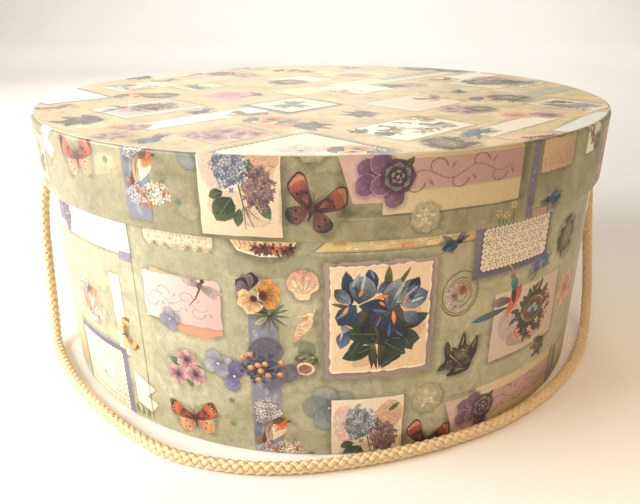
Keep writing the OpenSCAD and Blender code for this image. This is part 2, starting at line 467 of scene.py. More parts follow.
    def line(self, points, width, paint, alpha=1.0, end=0.15):
        """A stroke that thins towards its end. Long ones are drawn as short runs."""
        p = np.asarray(points, float)
        way = unit(np.gradient(p, axis=0))
        across = np.stack([-way[:, 1], way[:, 0]], 1)
        half = np.linspace(width, max(width * end, 0.08), len(p))[:, None] / 2
        left, right = p + across * half, p - across * half
        for i in range(0, len(p) - 1, 3):
            stop = min(i + 3, len(p) - 1)
            self.fill(np.concatenate([right[i:stop + 1], left[i:stop + 1][::-1]]), paint, alpha)

    def torn(self, x0, y0, x1, y1, rough=0.4, step=2.5):
        """Outline of a torn rectangle."""
        corners = [(x0, y0), (x1, y0), (x1, y1), (x0, y1), (x0, y0)]
        out = []
        for (ax, ay), (bx, by) in zip(corners, corners[1:]):
            n = max(2, int(math.hypot(bx - ax, by - ay) / step))
            for i in range(n):
                jx, jy = self.rng.uniform(-rough, rough), self.rng.uniform(-rough, rough)
                out.append((ax + (bx - ax) * i / n + jx, ay + (by - ay) * i / n + jy))
        return np.array(out)

    def card(self, x0, y0, x1, y1, paint, rough, step, shadow):
        """A rectangle with slightly torn edges over its own shadow."""
        outline = self.torn(x0, y0, x1, y1, rough, step)
        self.shade(outline, shadow)
        self.fill(outline, paint)

    def scatter(self, x, y, rx, ry, n):
        """n places in an oval, spread evenly and then jittered, from the top down."""
        golden_angle = 2.39996
        spots = []
        for i in range(n):
            r, a = math.sqrt((i + 0.5) / n), golden_angle * i
            jx, jy = self.rng.uniform(-0.12, 0.12), self.rng.uniform(-0.12, 0.12)
            spots.append((x + rx * (r * math.cos(a) + jx), y + ry * (r * math.sin(a) + jy)))
        return sorted(spots, key=lambda s: -s[1])


# ------------------------------------------------------------ motifs, each about its own middle

def butterfly(p, fore, band, end, hind, tip, spread):
    """Head up, forewings raised by spread degrees, each with a coloured band and end."""
    dark = "#2c2226"
    fore_edge = smooth([
        (0, -0.8), (0.5, 1.2), (6, 2.6), (12, 4.6), (15, 3.4), (14.4, 0), (12.6, -3.4), (8, -3.8),
        (3, -2.6),
    ])
    fore_band = smooth([(7.6, 2.8), (11.6, 4.1), (13.2, 0.6), (11.6, -3.0), (8.2, -3.2), (8.8, 0)])
    fore_end = smooth([(11.6, 4.1), (14.4, 3.2), (13.9, 0), (12.2, -3.0), (12.4, 0.6)])
    hind_edge = smooth([(0, 1), (4, 2.6), (9.5, 2.4), (11, -0.6), (9.4, -4.0), (6, -5.2), (3, -3.0)])
    hind_band = smooth([(6.6, 2.4), (9.4, 2.2), (10.7, -0.6), (9.2, -3.8), (6.4, -4.8), (7.4, -1)])
    p.shade([(-13, 3), (-8, 9), (0, 3), (8, 9), (13, 3), (9, -9), (0, -4), (-9, -9)], 2.4, 0.5)
    for side in (False, True):
        wing = p.at(0, 0, 0, 1, side)
        back = wing.at(0.4, -0.6, -28)
        back.fill(hind_edge, (fore, hind, (0, 0), (8, 0)))
        back.fill(hind_band, (hind, tip, (6, 0), (9, 0)))
        each(back.blob, ((6.0, 1.0), (6.4, -2.6)), 0.7, 0.6, dark)
        fan = wing.at(0.4, 0.2, spread)
        fan.fill((fore_edge - (7, 0)) * 1.05 + (7, 0), dark)
        fan.fill(fore_edge, (dark, fore, (0, 0), (6, 0)))
        fan.petal(2.4, -0.4, 6.2, 2.6, 8, "#a8685a", dark, 1.3)
        fan.fill(fore_band, (fore, band, (7, 0), (11, 0)))
        fan.fill(fore_end, end)
        each(fan.blob, [(13.0 - 0.25 * abs(k - 2), 2.6 - 1.5 * k) for k in range(4)], 0.45, 0.4, "#f0cfa8")
        each(fan.blob, ((6.6, 1.6), (8.0, -1.8), (4.6, -1.8)), 0.7, 0.5, dark)
        wing.line([(0.2, 3.0), (1.2, 5.6), (2.8, 7.4)], 0.3, dark)
    p.petal(0, -6, 9.4, 2.0, 90, dark, "#5e4036", 1.4)


def round_petals(p, colours, alpha=0.6, n=4, reach=6.0, heart="#7d7f99"):
    """A flower of a few round see-through petals, each with a thin dark outline."""
    for k in range(n):
        a = 360 * k / n + p.rng.uniform(-8, 8)
        x, y = polar(0.55 * reach, a)
        outline = p.oval(x, y, 0.62 * reach, 0.55 * reach, a, 14, 0.06)
        p.shade(outline, 1.4, 0.4)
        p.fill((outline - (x, y)) * 1.05 + (x, y), heart, alpha)
        p.fill(outline, (heart, colours[k % len(colours)], (0, 0), reach), alpha)
        for lean in (-28, -10, 10, 28):
            p.line([polar(share * reach, a + lean) for share in (0, 0.49, 0.98)], 0.3, heart, 0.35)
    p.blob(0, 0, 0.7, 0.7, "#d8cf9a")


def iris_card(p):
    """A torn cream card on mauve paper, with a bunch of blue irises."""
    p.card(-22.5, -26, 22.5, 25.5, ("#b29c98", "#a18c86", (0, 25), (0, -25)), 0.7, 2.5, 3.0)
    p.shade([(-20, -23.5), (20.5, -22), (20.5, 23.5), (-19.5, 24)], 1.4, 0.45)
    p.fill(p.torn(-20.3, -23.4, 20.3, 24.0, 0.45, 2.0), "#f6e7cc")
    p.fill(p.torn(-19.6, -22.6, 19.6, 23.6, 0.3, 3.0), ("#f0dab6", "#e6caa0", (-15, 15), (20, -20)))
    stains = (
        (-4, -17, 8, 3), (14, -5, 5, 4), (-10, -1, 6, 4), (-14, 10, 5, 3), (6, -14, 6, 3), (13, 2, 4, 6),
    )
    each(p.blob, stains, "#c07e60", 20, 0.35)
    blades = (
        (-3, -22, 26, 3.2, 93), (0, -22, 24, 3.0, 86), (2, -22, 22, 2.6, 78), (-1, -22.5, 20, 2.4, 100),
        (2.2, 10, 13.5, 3.2, 88), (5, 12, 12, 1.8, 58), (-11, 6, 9, 1.6, 165), (0, -18, 14, 1.2, 120),
        (1, -18, 15, 1.2, 60),
    )
    each(p.petal, blades, "#141c16", "#6f7440", 1.0, 2, "#121612")
    p.blob(0, -1, 12, 11, "#17221f", 0, 0.92, 14, 0.16)
    leaves = (
        (-1, -9, 15, 9.0, 150), (-3, -12, 13, 6.5, 200), (-7, -7, 11, 4.5, 238), (1, -22, 17, 7.0, 62),
        (-2, -6, 12, 7, 175), (3, -8, 14, 9.0, -8), (9, -6, 10, 5.0, -62), (9, -4, 12, 5.5, 25),
        (3, -20, 11, 4.5, 45), (2, -10, 11, 6, -35),
    )
    each(p.leaf, leaves, "#10201a", "#2e4a38")
    petals = (
        (-12, 7, 15, 5.5, 98, "#0e1826", "#33485f"), (-3, 12, 10.5, 5.5, 103, "#0e1826", "#2f4a66"),
        (-9, 8, 12, 11.5, 78, "#1c3150", "#8c9cac"), (-12, 8, 9, 5, 135, "#8fa0b4", "#182538"),
        (-10, 7.5, 11, 8.5, 232, "#2c5478", "#12264a"), (-9, 7, 12, 6.5, -8, "#234a6c", "#0e1a2c"),
        (-1, 7, 9, 6, -105, "#3b374e", "#191624"), (-2, 12, 7, 4, 40, "#7688a4", "#141f34"),
        (3, 4, 14, 9.5, 72, "#304a68", "#94a4b0"), (6, 7, 13, 7.5, 48, "#9aa8ac", "#2e4660"),
        (11, 10, 8.5, 4.5, 62, "#1f324e", "#101a30"), (8, 6, 12, 8.5, 22, "#8fa0b4", "#3c567a"),
        (12, 8, 7, 4, 80, "#152238", "#60769a"), (5, 3, 12, 10.5, -98, "#263c5e", "#101830"),
        (1, 4, 9, 6, -140, "#464464", "#181a2c"), (9, 3, 9, 5.5, -40, "#7d8ca2", "#262e44"),
        (-16, -12, 8.5, 5.5, 75, "#6c86a6", "#263f64"), (-15, -5, 4.5, 3.5, 70, "#9fb0c4", "#4a6284"),
        (-5, 2, 8, 4, 255, "#20283c", "#0e1220"), (7, -2, 8, 4, -60, "#20283c", "#10141f"),
    )
    each(p.petal, petals, 1.2, 5, "#0c121c", frill=0.12)
    for x, y, length, width, turn, paint in (
        (-12, 15, 7, 1.6, 60, "#a4b4c0"), (-8, 13, 8, 1.2, 80, "#c4ced0"), (-13, 5, 6, 1.3, 215, "#5c86ac"),
        (-4, 5, 7, 1.2, -10, "#4f7698"), (5, 9, 9, 1.3, 60, "#b4c0c2"), (9, 9, 8, 1.2, 40, "#a0aeb8"),
        (4, -1, 7, 1.4, -95, "#4a6490"), (12, 7, 6, 1.1, 15, "#cad4da"), (-16, -8, 4, 1.0, 80, "#c4d0dc"),
        (0, 2, 5, 0.9, -110, "#7a7aa0"), (-3, 18, 5, 1.0, 110, "#6c88a8"), (6, -5, 5, 1.0, -40, "#54688c"),
    ):
        p.petal(x, y, length, width, turn, paint, paint, 1.0)
    tongues = (
        (-13, 7, 5, 1.5, 240), (-3, 10, 6.5, 1.6, 8), (5, 4, 6.5, 1.7, -84), (-9, 11, 3.5, 1.5, 60),
        (-1, 8.5, 3.5, 1.2, -40), (9, 6, 4, 1.1, 70), (-11, -3, 4, 1.0, 150),
    )
    each(p.petal, tongues, "#f2b464", "#d8702c", 1.0, 1, "#6a2f1c")


def pansies(p):
    """Purple and yellow pansies over a fan of narrow leaves."""
    p.shade(p.oval(-2, 2, 9, 10), 2.4, 0.5)
    for turn in (-165, -145, -120, -95, -65, -35, -5, 20, 40, 165):
        p.petal(3.5, -7, 9.5, 1.3, turn, "#23291a", "#84895c", 1.1, 1, "#1c2016")
    p.leaf(3.0, -6, 11, 5.5, 148, "#1d3024", "#3f5a44")
    p.leaf(3.5, -6, 10.5, 5.0, 66, "#4d6252", "#b4bfa6")
    p.leaf(2.5, -8, 7.5, 3.0, 215, "#7c7c52", "#d0c89c")
    for k, (length, turn) in enumerate(((9, 82), (8.5, 112), (8, 145), (7, 175))):
        tip = "#8a7480" if k % 2 else "#3c2434"
        p.petal(-5, 5, length, 7.0, turn, "#23131d", tip, 1.5, 4, "#a08a90", frill=0.08)
    for length, turn in ((9.5, 62), (9.5, 25), (8.5, -12), (8.0, -48), (6, 95)):
        p.petal(0.5, 2.5, length, 6.6, turn, "#5c2a16", "#e6a855", 1.5, 6, "#a8682a", frill=0.12)
    for length, turn in ((8.0, 160), (8.5, 200), (8.5, 245), (6.5, 285)):
        p.petal(-3.5, 0.5, length, 6.4, turn, "#a86030", "#f4dca8", 1.5, 5, "#b87a38", frill=0.14)
    p.blob(-3.6, 0.8, 1.8, 1.7, ("#1c0a10", "#6a2a22", (-3.6, 0.8), 1.8))
    p.blob(0.8, 2.6, 2.1, 2.6, ("#1c0a14", "#6a3222", (0.8, 2.6), 2.4))
    p.line([(-1.6, 1), (-1.2, 4), (-2.2, 6.5)], 0.6, "#f0e4bc")


def scallop_shell(p):
    outline = smooth([
        (-2.4, -6), (2.2, -6), (3.0, -3.6), (5.8, -1.5), (6.0, 1.2), (4.6, 4.4), (1.6, 6), (-1.8, 6),
        (-4.8, 4.2), (-6.2, 1), (-5.6, -1.6), (-3.6, -3.6),
    ])
    p.shade(outline, 1.6, 0.45)
    p.fill(outline * 1.04, "#c39a7e")
    p.fill(outline, ("#eed9b2", "#dba58c", (0, -5), (0, 5.5)))
    for k in range(11):
        x, y = polar(9.4 - 2.4 * abs(k - 5) / 5, 158 - 136 * k / 10)
        rib = [(0, -4.2), (0.5 * x, -4.2 + 0.55 * y), (0.86 * x, -4.2 + y)]
        p.line(rib, 0.30, "#b87f68" if k % 2 else "#f6e6c8", 0.55, 1.6)
    p.fill([(-2.2, -6), (2, -6), (2.6, -3.8), (-2.8, -3.8)], "#efd9b0")


def whelk(p):
    body = smooth([
        (-4, -7.5), (-3.6, -3.5), (-2.6, 0.5), (-1.6, 1.6), (-0.4, 4.6), (2.8, 6.2), (4.6, 7.4),
        (3.6, 4.2), (3.4, 1.2), (2.2, -1.6), (-0.8, -4.2),
    ])
    p.shade(body, 1.8, 0.5, (0.8, -1.0))
    p.fill(body, ("#f3dcae", "#e2b08c", (3, 5), (-3, -7)))
    p.blob(0.5, 3.4, 1.7, 0.9, ("#b57a58", "#dba27c", (0.5, 3.2), 1.8), 35)
    for k in range(5):
        y = -6.0 + 1.5 * k
        groove = [(-3.6 + 0.3 * k, y), (-2.2 + 0.5 * k, y - 0.3), (-1.0 + 0.7 * k, y + 0.5)]
        p.line(groove, 0.3, "#c48e6c", 0.6)


def broken_shell(p):
    p.blob(0.6, 7.0, 3.6, 4.2, "#4c5c42", 10, 0.55)
    p.shade(p.oval(0, 0, 4.6, 5.5), 2.0, 0.6)
    p.blob(0.4, 2.2, 4.4, 3.2, ("#8f8a6c", "#4c4636", (0, 3), 4.5), 0, 1, 14, 0.12)
    for x, y in p.scatter(0.8, 2.6, 3.6, 2.2, 14):
        p.blob(x, y, 0.7, 0.5, p.rng.choice(("#c9c0a0", "#453f30", "#a07a66", "#77745a")), 20, 0.8, 7)
    p.blob(-0.2, -2.2, 3.9, 3.2, "#efcfae")
    p.blob(-0.2, -2.3, 2.9, 2.2, ("#6a4634", "#a67c5e", (-0.2, -1.4), 3))


def dragonfly(p):
    for turn, length in ((150, 10), (172, 8.5), (-8, 10.5), (-26, 9)):
        p.petal(0, 1, length, 3.0, turn, "#5c5a5c", "#c9b7b0", 0.9, 5, "#8d8486", 0.6)
    p.line([(0.8, 3.2), (0, 0), (-1.6, -4.6), (-4.8, -9.0)], 1.3, "#3f3334")
    p.blob(1.0, 3.4, 1.0, 0.9, "#4d2f35")
    p.blob(-0.2, 1.2, 1.0, 1.6, "#5f4a4a", -15)
    for k in range(5):
        p.blob(-0.4 - 0.75 * k, -1.0 - 1.5 * k, 0.5, 0.22, "#a08c80", -30, 0.8)


def flourish(p, width, height, paint):
    """A pen scroll of curls that spells nothing."""
    half = width / 2
    wave = [(-half + width * k / 12, 0.16 * height * math.sin(math.tau * k / 6)) for k in range(13)]
    p.line(smooth(wave, False), 0.55, paint, 0.75, 0.6)
    for k in range(5):
        up = 1 if k % 2 else -1
        pen = p.at(-half + width * (k + 0.5) / 5, 0)
        curl = []
        for t in range(9):
            across, above = (1 - t / 9) * math.cos(0.75 * t), (1 - t / 9) * math.sin(0.75 * t)
            curl.append(((0.36 * across - 0.2) * height, up * (0.22 + 0.30 * above) * height))
        pen.line(smooth(curl, False), 0.75, paint, 0.75, 0.35)
        bud = np.array((0.25, up * 0.12, 0.26, 0.09)) * height
        pen.petal(*bud, up * 50, paint, paint, alpha=0.7)


def nature_label(p):
    """A pale pink torn label on peach paper, with a dragonfly and a grey flower."""
    back = [
        (-14, 14.8), (-5, 13.2), (17, 12), (19.5, 8), (19.5, -12.5), (10, -15.5), (0, -14), (-7, -12),
        (-19, -8.5), (-17, -4), (-17, 8),
    ]
    p.shade(back, 2.0, 0.4)
    p.fill(back, ("#dca684", "#cc9270", (0, 12), (0, -15)))
    front = p.torn(-19.6, -10.0, 19.6, 12.6, 0.55, 2.2)
    p.shade(front, 0.9, 0.35)
    p.fill(front, ("#e4cec6", "#d4b0a8", (-18, 10), (18, -10)))
    flourish(p.at(-1, 0.5, -6), 30, 12, "#a98f92")
    p.blob(11, 9.2, 5.5, 2.2, "#e9c6a4", -14, 0.8)
    dragonfly(p.at(10.5, 8.5, -6, 1.1))
    round_petals(p.at(-6.5, -9.0, 15, 0.9), ("#9d93a8", "#b1a4b4", "#8d8aa0"), 0.7, 4, 5.5)


def striped_flower(p):
    """A round pink flower with a dark heart."""
    for k in range(6):
        tip = "#dcb4ac" if k % 2 else "#c99594"
        p.petal(0, 0, 5.6, 4.6, 60 * k + 20, "#7c4654", tip, 1.7, 4, "#74484f")
    for turn in range(0, 360, 40):
        p.petal(0.6, 0, 2.6, 0.7, turn, "#3d2a35", "#7b5566", 1.0)
    p.blob(0, 0, 1.0, 1.0, "#3a2230")


def flower_trio(p):
    p.shade(p.oval(0, 0, 9.5, 10), 2.0, 0.4)
    for turn in range(15, 375, 45):
        p.leaf(*polar(3.0, turn), 6.0, 3.4, turn)
    for x, y, turn in ((0.5, 4.8, 10), (-4.6, -3.6, 40), (4.6, -1.8, 75)):
        striped_flower(p.at(x, y, turn, 0.95))


def berry_spray(p):
    """Orange berries on dark twigs over see-through violet petals."""
    for x, y, r, turn, paint in (
        (1, 7.5, 7.5, 20, "#5a5262"), (10.5, -2, 4.6, 80, "#57506c"),
        (4, -4.5, 6, 50, "#6f6684"), (-5, 0, 5, 0, "#6a6480"),
    ):
        outline = p.oval(x, y, r, 0.85 * r, turn, 16, 0.05)
        p.shade(outline, 1.6, 0.4)
        p.fill(outline, ("#4a4256", paint, (x, y), r), 0.75)
    spots = p.scatter(-1, -0.5, 9.5, 7.5, 30)
    for x, y in spots:
        p.line([(0.2 * x, 0.2 * y - 1), (0.6 * x + 0.8, 0.6 * y), (x, y)], 0.5, "#221e1a")
        p.petal(0.75 * x, 0.75 * y, 3.2, 1.3, p.rng.uniform(0, 360), "#1c2220", "#46503e", 1.0)
        p.bloom(x, y, 1.3, 5, "#20222c", "#50566e")
    for x, y in spots[::3]:
        p.blob(x, y, 1.45, 1.35, ("#f2c890", "#b05c2e", (x - 0.4, y + 0.4), 1.7), 0, 1, 9)


def lilac_card(p):
    """A cream card with blue and pink lilac and broad leaves."""
    p.card(-15.5, -19.5, 15.5, 19.5, ("#eee0c8", "#e0caa8", (-12, 16), (12, -16)), 0.2, 4.0, 3.0)
    p.blob(-9.5, 7, 5.5, 10, "#d5aca6", 8, 0.6)
    p.blob(9, 10, 6, 8, "#cf9c76", -20, 0.75)
    each(p.blob, ((8, 6, 6, 6), (-4, -8, 9, 6), (6, -12, 6, 4)), "#b9a088", 0, 0.4)
    leaves = (
        (-3, -5, 11, 9, 235), (-6, -3, 6, 4, 200), (6, -4, 10, 4.5, -58), (0, -9, 7, 3.4, 260),
        (1, 3, 7, 4.5, 60), (9, 12, 6, 2, 40),
    )
    each(p.leaf, leaves, "#1f3226", "#586c42")
    for end in ((2, -17), (5, -16), (-1, -16), (7, -13), (4, -12)):
        p.line([(0, 0), (1.5, -8), end], 0.7, "#5f6748", 0.9, 0.5)
    pinks = ("#a98480", "#8d6a6a", "#c4a698", "#75524f", "#b89584")
    blues = ("#a9b6c4", "#8797ac", "#c8ced0", "#6c7c92", "#d5d8d2")
    p.florets(7.0, -1.0, 6.0, 8.0, 46, pinks, 1.25, "#54383a")
    p.florets(-3.5, 7.0, 7.0, 9.0, 64, blues, 1.25)


def robin(p):
    """A robin among white and cream blossom."""
    p.shade(p.oval(0, -2, 8, 11), 2.2, 0.5)
    for turn in (200, 230, 255, 285, 310, 340):
        p.petal(0, -8, 8, 2.6, turn, "#5c3a24", "#c98a54", 1.1, 2, "#4f3424")
    p.florets(-3.0, 8.0, 5.8, 6.5, 40, ("#e4dacb", "#c6b8ae", "#d5cac2", "#a89a94", "#f0e8da"), 1.3)
    p.petal(-6.5, -9.5, 15, 3.0, 66, "#4a3226", "#7f5a44", 1.1, 3, "#33241c")
    p.petal(-3.6, -6.5, 13, 7.0, 68, "#c9b290", "#6f5644", 1.2, 5, "#4a3a2e")
    p.petal(-1.2, -5.5, 11, 6.0, 66, "#f0e4cc", "#e0b088", 1.5, 3)
    p.petal(0.6, -0.5, 6.5, 5.0, 62, "#d98a54", "#c8602c", 1.3, 3)
    p.blob(2.6, 4.4, 2.6, 2.4, ("#cf6c34", "#74543e", (3.2, 3.6), 3.0))
    p.petal(-1.2, 2.6, 5.5, 3.0, 40, "#6a4e3a", "#57422f", 1.2)
    p.petal(4.6, 4.4, 2.0, 0.9, 8, "#3a2c22", "#221a16", 0.8)
    p.blob(3.3, 5.0, 0.45, 0.45, "#15100e")
    p.florets(-3.5, -10.5, 4.5, 3.0, 22, ("#cfc6cc", "#b4a8b0", "#e0d8d4"), 1.2)
    p.florets(5.5, -9.0, 5.5, 3.4, 30, ("#efe4c8", "#e2cba4", "#f4ecd6", "#cdb088"), 1.3)
    for x, y in ((-3, -10.5), (0.5, -11.5), (8, -10.5), (-6, -8)):
        p.petal(x, y, 4, 1.7, p.rng.uniform(20, 160), "#7a4a2c", "#cf8a50", 1.0)


def nest_card(p):
    """A card with a nest of pale eggs in leaves and pink blossom, and a bright bird beside it."""
    p.shade([(-23, -16), (24, -17), (24, 16), (-23, 14)], 2.8, 0.5)
    p.fill(p.torn(-23, -16.5, 24, 16.5, 0.25, 4), ("#d0c0b4", "#c4ae92", (-20, 10), (20, -12)))
    p.blob(-12, 0, 8, 9, "#ab96a0", 0, 0.55)
    p.blob(0, -9, 14, 5, "#94866c", 0, 0.6)
    nest = p.at(4.0, 1.0)
    nest.blob(0, -0.5, 11.5, 11.0, "#20261e", 0, 1, 14, 0.15)
    leaves = (("#1d2a20", "#4c5a3c"), ("#2c1e1c", "#6a4a3c"), ("#1c2622", "#5a6446"))
    for k in range(46):
        a = 360 * k / 46 + p.rng.uniform(-6, 6)
        x, y = polar(1.1 * p.rng.uniform(7.0, 11.5), a, 0.95 / 1.1)
        dark, light = p.rng.choice(leaves)
        length, turn = p.rng.uniform(4, 6.0), a + p.rng.uniform(-50, 50)
        nest.petal(x, y, length, 2.2, turn, dark, light, 1.0, 1, "#171412")
    nest.blob(0, 1.5, 8.6, 6.4, ("#2a2018", "#77593c", (0, 1), 9), 8)
    for k in range(34):
        a = math.radians(360 * k / 34)
        start = np.array((7.8 * math.cos(a), 1.5 + 5.6 * math.sin(a)))
        middle = start + (3.0 * math.sin(a + 0.3), -2.4 * math.cos(a))
        end = start + (4.6 * math.sin(a), -3.6 * math.cos(a))
        nest.line([start, middle, end], 0.5, p.rng.choice(("#a5804f", "#57402c", "#c49a66")), 0.9)
    for x, y, turn in ((-2.6, 1.6, 20), (0.8, 2.8, -10), (2.4, 0.6, 30)):
        nest.blob(x, y, 1.9, 1.3, ("#c0cecf", "#6f888e", (x - 0.5, y + 0.6), 2.2), turn)
    for x, y, size in (
        (-11, -7, 1.0), (-9, -10, 0.7), (10.5, 6, 0.8), (11.5, -4, 0.9), (9.5, -8, 0.7), (1, -11, 0.7),
        (12, 1, 0.7),
    ):
        nest.bloom(x, y, 2.8 * size, 5, "#9a3c44", "#e89a90")
        nest.bloom(x + 0.3, y + 0.3, 1.4 * size, 5, "#f2d9a0", "#b85a60")
    each(nest.bloom, ((-1, -8.5), (9.5, -0.5), (4.5, -6)), 1.7, 5, "#8a5a2c", "#f0dca8")
    bird = p.at(-9.5, 11.5)
    bird.petal(-3.5, -2.6, 22, 3.2, 187, "#3f3c38", "#3c7c8c", 1.4, 3, "#24444c")
    bird.petal(-2.5, 0.2, 13, 4.4, 176, "#26333f", "#a08478", 1.3, 4, "#2c4456")
    bird.petal(-6, -7.0, 15.5, 5.6, 58, "#d8794c", "#cc4636", 1.3, 5, "#963826")
    bird.petal(-1.5, -2.5, 9.5, 3.2, 100, "#372e28", "#1f1b1a", 1.1, 2)
    bird.petal(-0.8, 3.0, 9.0, 4.0, 112, "#2c6470", "#4a8a80", 1.4, 3, "#1c343c")
    bird.petal(-3.4, 9.5, 5.0, 3.2, 120, "#4f8a86", "#b08a4c", 1.2, 2)
    plume = smooth([(-4.6, 12.5), (-5.6, 15.5), (-8.4, 17.6), (-11, 17.0)], False)
    bird.line(plume, 0.9, "#b58a5c", 1, 0.5)
    bird.blob(-4.2, 11.4, 0.5, 0.5, "#1c1414")


def spiral_shell(p):
    """A fine brown coil round a small flower."""
    for start, turns, r0, r1, width in (
        (200, 1.5, 10.5, 8.8, 0.8), (60, 1.6, 7.0, 5.2, 0.6), (0, 1.4, 5.0, 3.2, 0.6),
    ):
        n = int(turns * 18)
        run = [polar(0.88 * (r0 + (r1 - r0) * k / n), start + 20 * k, 1 / 0.88) for k in range(n + 1)]
        p.line(run, width, "#7d6038", 0.9, 0.6)
    for k in range(7):
        p.petal(-1.5, -1.2, 6.0, 1.9, 100 + 30 * k, "#6f5a50", "#d8c6c0", 1.3, 2, "#8d7468")
    p.blob(1.0, 1.4, 3.0, 2.8, ("#9a5a48", "#b99468", (1, 1.4), 3), 0, 0.8)
    for turn in range(0, 360, 45):
        p.petal(1.0, 1.4, 2.6, 1.2, turn, "#6a3c3a", "#b8776a", 1.2)
    p.petal(-1.5, -1.5, 3, 1.4, 150, "#37524a", "#5f7a68", 1.0)
    p.line([(-1.8, -5.0), (-3.4, -7.2), (-5.0, -9.4)], 0.7, "#7d6038")


def dark_orchid(p):
    """An almost black antique flower, like a crown with three horns."""
    crown = smooth([
        (-8.5, -1), (-9.5, 5), (-8, 9.5), (-6, 6.5), (-3.4, 3.4), (-1.4, 5.4), (0.4, 12.5), (2.2, 11),
        (3.2, 4.6), (5.4, 4.4), (9.0, 9.4), (10.2, 7), (9.8, 0), (7.4, -5), (5.6, -9.4), (-1, -10.8),
        (-7.4, -10.4), (-4.6, -7.4), (-7.4, -6.2), (-12, -6.4), (-11.4, -4.0),
    ])
    p.shade(crown, 2.4, 0.55)
    p.fill(crown, ("#2b2822", "#191714", (0, 2), 10))
    folds = (
        (-1, 0, 8, 5.0, 140), (-1, 0, 8, 5.0, 35), (0, -2, 7.5, 5.0, -20), (-2, -2, 7.5, 5.0, 210),
        (0, -3, 6.5, 4.6, 270), (-8, 1, 7.5, 1.8, 88), (0.6, 4, 7.5, 1.6, 87), (8.4, 1, 7.5, 1.8, 82),
        (-6, -5, 5.5, 1.4, 182), (-5, -9, 10, 1.8, 5),
    )
    each(p.petal, folds, "#26231d", "#5a5040", 1.3, 4, "#191714")
    p.blob(1.0, 0.8, 4.6, 3.4, ("#77704e", "#3a3624", (0.5, 0.5), 4.6))
    for points in (
        [(-6, 1.6), (-3, -1.6), (0.4, -4.6)], [(-2, -8.4), (0, -7.6), (2.4, -8.2)],
        [(1, 3), (3.4, 2), (4.4, 4)], [(-5, 4), (-6.2, 6), (-5.6, 8)],
        [(7, 3), (8.2, 6), (8, 9)], [(0.4, 6), (1.2, 9), (1, 12)],
    ):
        p.line(points, 0.7, "#c4b48a", 0.8)
    for x, y in p.scatter(0, -3, 7, 6, 18):
        p.blob(x, y, 0.6, 0.4, p.rng.choice(("#8a6a5c", "#5c6448", "#a58a6c", "#2c2a3c")), 0, 0.8, 6)


def rectangle_sides(w, h):
    """The sides of a rectangle that reaches w and h from its middle, each as its two ends."""
    corners = np.array([(-w, -h), (w, -h), (w, h), (-w, h)], float)
    return list(zip(corners, np.roll(corners, -1, axis=0)))


def lace(p, width, height, holes="#75604f", thread="#e9dcc2"):
    """A mat of lace: scalloped edge, a row of eyelets, a net of small flowers, plain middle."""
    half_w, half_h = width / 2, height / 2
    scallop, hem, eyelet, net_x, net_y, border = 2.4, 0.8, 1.75, 3.3, 3.0, 9.5
    outline = []
    for a, b in rectangle_sides(half_w, half_h):
        far = math.dist(a, b)
        n = max(2, round(far / scallop))
        outward = np.array((b[1] - a[1], a[0] - b[0])) / far
        for i in range(n):
            for t, out in ((0.0, 0.0), (0.25, 0.7), (0.5, 0.95), (0.75, 0.7)):
                outline.append(a + (b - a) * (i + t) / n + outward * out)
    p.shade(outline, 1.6, 0.5)
    p.fill(outline, thread)
    w, h = half_w - hem, half_h - hem
    n = round(4 * (w + h) / eyelet)
    for i in range(n):
        s = 4 * (w + h) * i / n
        for a, b in rectangle_sides(w, h):
            far = math.dist(a, b)
            if s < far:
                break
            s -= far
        p.blob(*(a + (b - a) * s / far), 0.5, 0.4, holes, p.rng.uniform(0, 180), 0.85, 5, 0.2)
    across, up = round((width - 5) / net_x), round((height - 5) / net_y)
    for row in range(up + 1):
        for k in range(across + row % 2):
            x = (k - (across - 1 + row % 2) / 2) * net_x + p.rng.uniform(-0.3, 0.3)
            y = (row / up - 0.5) * (height - 5) + p.rng.uniform(-0.3, 0.3)
            if min(half_w - abs(x), half_h - abs(y)) > border:
                continue
            spin, reach = p.rng.uniform(0, 72), p.rng.uniform(0.8, 1.05)
            for turn in range(0, 360, 72):
                spot = np.add((x, y), polar(reach, spin + turn))
                p.blob(*spot, 0.62, 0.34, holes, spin + turn, 0.8, 5, 0.3)
    middle = min(half_w, half_h) - border
    if middle > 3:
        for k in range(6):
            p.petal(0, 0, middle, 0.55 * middle, 60 * k, "#cfc6b8", "#e2d8c6", 1.4, 3, "#a99fa4")
        p.blob(0, 0, 1.1, 1.1, holes, 0, 0.8)


def lace_card(p, width, height):
    """Lace pinned over a slightly larger lavender card."""
    w, h = width / 2, height / 2
    p.card(-w - 4.5, -h - 3.5, w + 2, h + 1.5, ("#85798f", "#69607c", (0, h), (0, -h)), 0.2, 5.0, 2.6)
    lace(p, width, height)


def lace_strip(p, width):
    """A narrow cream edging, scalloped below."""
    n = round(width / 5.4)
    step = width / n
    starts = [-width / 2 + step * i for i in range(n)]
    low = [(x + step * t / 6, -2.8 - 2.3 * math.sin(math.pi * t / 6)) for x in starts for t in range(6)]
    outline = low + [(width / 2, -2.4), (width / 2, 1.8), (-width / 2, 1.8)]
    p.shade(outline, 1.5, 0.45)
    p.fill(outline, ("#efe3c6", "#dccba6", (0, 2), (0, -5)))
    for start in starts:
        pen = p.at(start + step / 2, 0)
        fan = [np.add(polar(1.6, 200 + 35 * k, 1.3 / 1.6), (0, -3.0)) for k in range(5)]
        each(pen.blob, fan, 0.36, 0.36, "#97896a", 0, 0.8, 5)
        pen.blob(0, -1.4, 0.6, 0.5, "#a3966c", 0, 0.8, 6)
        each(pen.blob, ((-1.6, 0.4), (0, 0.4), (1.6, 0.4)), 0.4, 0.4, "#a3966c", 0, 0.8, 5)


